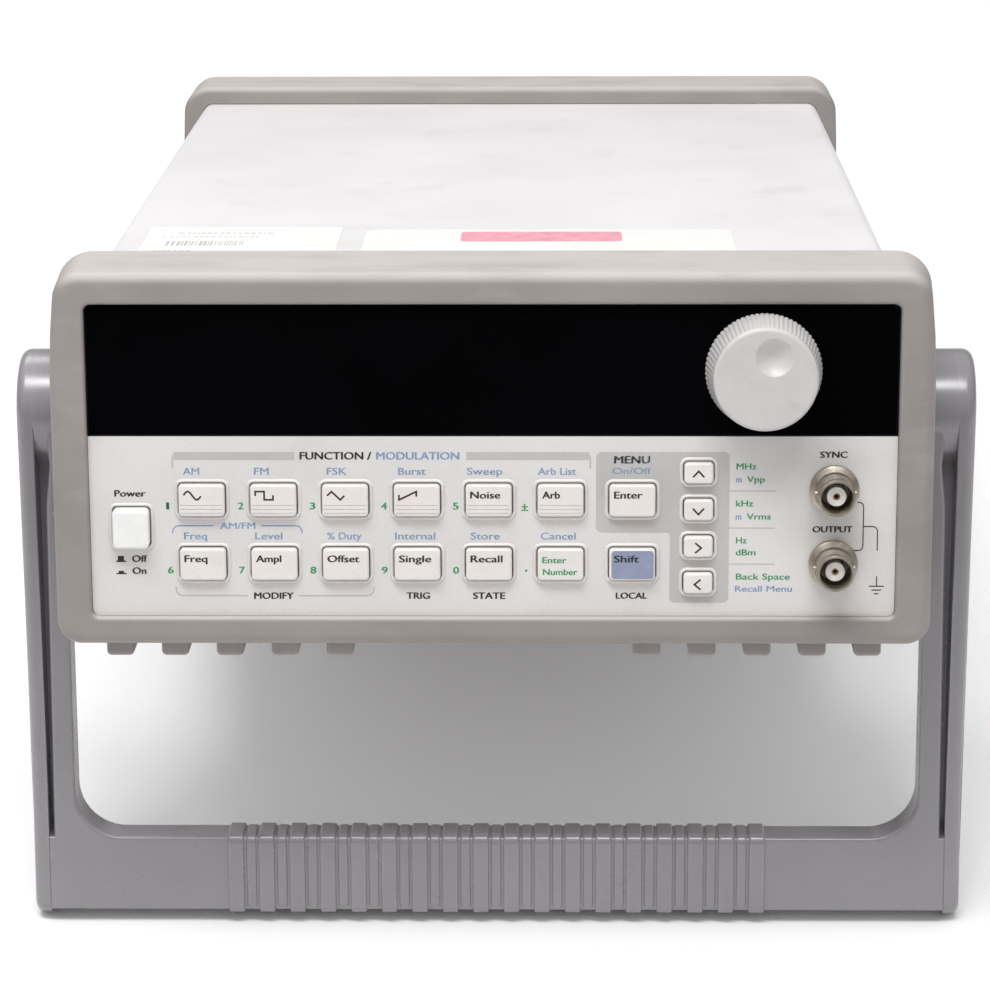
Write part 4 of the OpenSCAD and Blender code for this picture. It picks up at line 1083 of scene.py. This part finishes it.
def handle():
    """Two outer plates with hubs and pins, the U frame between them and the ribbed grip."""
    pin_r, pin_end, edge = 5.95, 107.5, 2.6
    inner = HANDLE_HALF - PLATE_T
    plate = prism(arm_outline(), inner, HANDLE_HALF, 0.4, edge, axis="x", steps=7)
    boss = prism(pivot_circle(HUB_R, 72), WALL_INNER, inner + 0.3, 1.0, 0, axis="x")
    axle = prism(pivot_circle(pin_r, 48), pin_end, WALL_INNER + 1, 0.3, 0, axis="x")
    x0, x1, z0, back = 116.6, inner + 0.3, GRIP_TOP - 4, ARM_FRONT + FRAME_D
    web = prism([(x0, z0), (x1, z0), (x1, PIVOT_Z), (x0, PIVOT_Z)], back - 2.4, back, 0, 0.6)
    parts = []
    for part in (plate, boss, axle, web):
        parts += [part, mirrored(part)]
    parts.append(prism(handle_frame_outline(), ARM_FRONT, back - 0.4, 1.0, 0.2))
    for i in range(RIB_COUNT):
        parts.append(grip_rib(0.9, RIB_W, (i - (RIB_COUNT - 1) / 2) * RIB_PITCH))
    for i in range(RIB_COUNT - 1):
        parts.append(grip_rib(0.45, RIB_GAP_W, (i - RIB_COUNT / 2 + 1) * RIB_PITCH, 0.2))
    obj = piece("handle_shell", [splayed(part) for part in parts], "handle",
        MAT["handle_plastic"])
    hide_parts("handle")


# ---------------------------------------------------------------- stage, lights and camera
def stage():
    mesh = bpy.data.meshes.new("floor")
    size = 6.0
    corners = [(-size, -size, 0), (size, -size, 0), (size, size, 0), (-size, size, 0)]
    mesh.from_pydata(corners, [], [(0, 1, 2, 3)])
    floor = bpy.data.objects.new("floor", mesh)
    bpy.context.scene.collection.objects.link(floor)
    s = base_surface("floor_paper", (0.97, 0.97, 0.97), 0.6, cloud=300, spread=0.004, speck_spread=0.0,
        grain=2.0, grain_depth=0.01)
    mesh.materials.append(s.material)


def softbox(name, place, target, size, power):
    """Rectangular area light at place, turned to target (metres, watts)."""
    light = bpy.data.lights.new(name, "AREA")
    light.shape = "RECTANGLE"
    light.size, light.size_y = size
    light.energy = power
    obj = bpy.data.objects.new(name, light)
    bpy.context.scene.collection.objects.link(obj)
    obj.location = place
    obj.rotation_euler = (Vector(target) - Vector(place)).to_track_quat("-Z", "Y").to_euler()


def lights():
    """Sky that is dark at the horizon and bright overhead, and two soft boxes."""
    world = bpy.data.worlds.new("studio")
    bpy.context.scene.world = world
    world.use_nodes = True
    nodes, links = world.node_tree.nodes, world.node_tree.links
    background = next(n for n in nodes if n.type == "BACKGROUND")
    height = nodes.new("ShaderNodeSeparateXYZ")
    links.new(nodes.new("ShaderNodeTexCoord").outputs["Generated"], height.inputs[0])
    glow = nodes.new("ShaderNodeMapRange")
    for index, value in ((1, 0.05), (2, 0.75), (3, 0.05), (4, 1.0)):
        glow.inputs[index].default_value = value
    links.new(height.outputs["Z"], glow.inputs[0])
    links.new(glow.outputs[0], background.inputs["Color"])
    background.inputs["Strength"].default_value = 0.86
    centre = (0, 0, 0.1)
    softbox("key_softbox", (-0.12, -0.42, 1.25), centre, (0.95, 0.28), 10.5)
    softbox("back_softbox", (-0.5, 0.9, 1.2), centre, (0.5, 0.5), 3)


def camera():
    """Seen from the front and above, in the instrument's own axes."""
    pitch, yaw, roll = 0.24943, -0.0174, -0.00385
    place = Vector((17.77, -916.22, 225.14))
    forward = Vector((math.sin(yaw) * math.cos(pitch), math.cos(yaw) * math.cos(pitch), -math.sin(pitch)))
    right = Vector((math.cos(yaw), -math.sin(yaw), 0))
    up = right.cross(forward)
    turned_right = math.cos(roll) * right + math.sin(roll) * up
    turned_up = math.cos(roll) * up - math.sin(roll) * right
    data = bpy.data.cameras.new("camera")
    data.sensor_width = 36
    data.lens = 132.77
    data.shift_x = -0.0043
    data.clip_start = 0.05
    obj = bpy.data.objects.new("camera", data)
    bpy.context.scene.collection.objects.link(obj)
    axes = Matrix((TURN @ turned_right, TURN @ turned_up, TURN @ -forward)).transposed()
    obj.matrix_world = Matrix.Translation(ORIGIN + TURN @ place * MM) @ axes.to_4x4()
    bpy.context.scene.camera = obj
    bpy.context.scene.view_settings.view_transform = "Standard"


camera()
lights()
stage()
paint_cad_nodes()
front_bumper()
rear_bumper()
stickers()
panel_rims()
gray_blocks()
black_legends()
blue_legends()
green_legends()
key_caps()
key_legends()
power_cap_piece()
tuning_knob()
jacks()
handle()
soften("display_window", 0.35)
soften("sleeve_cover", 0.3)
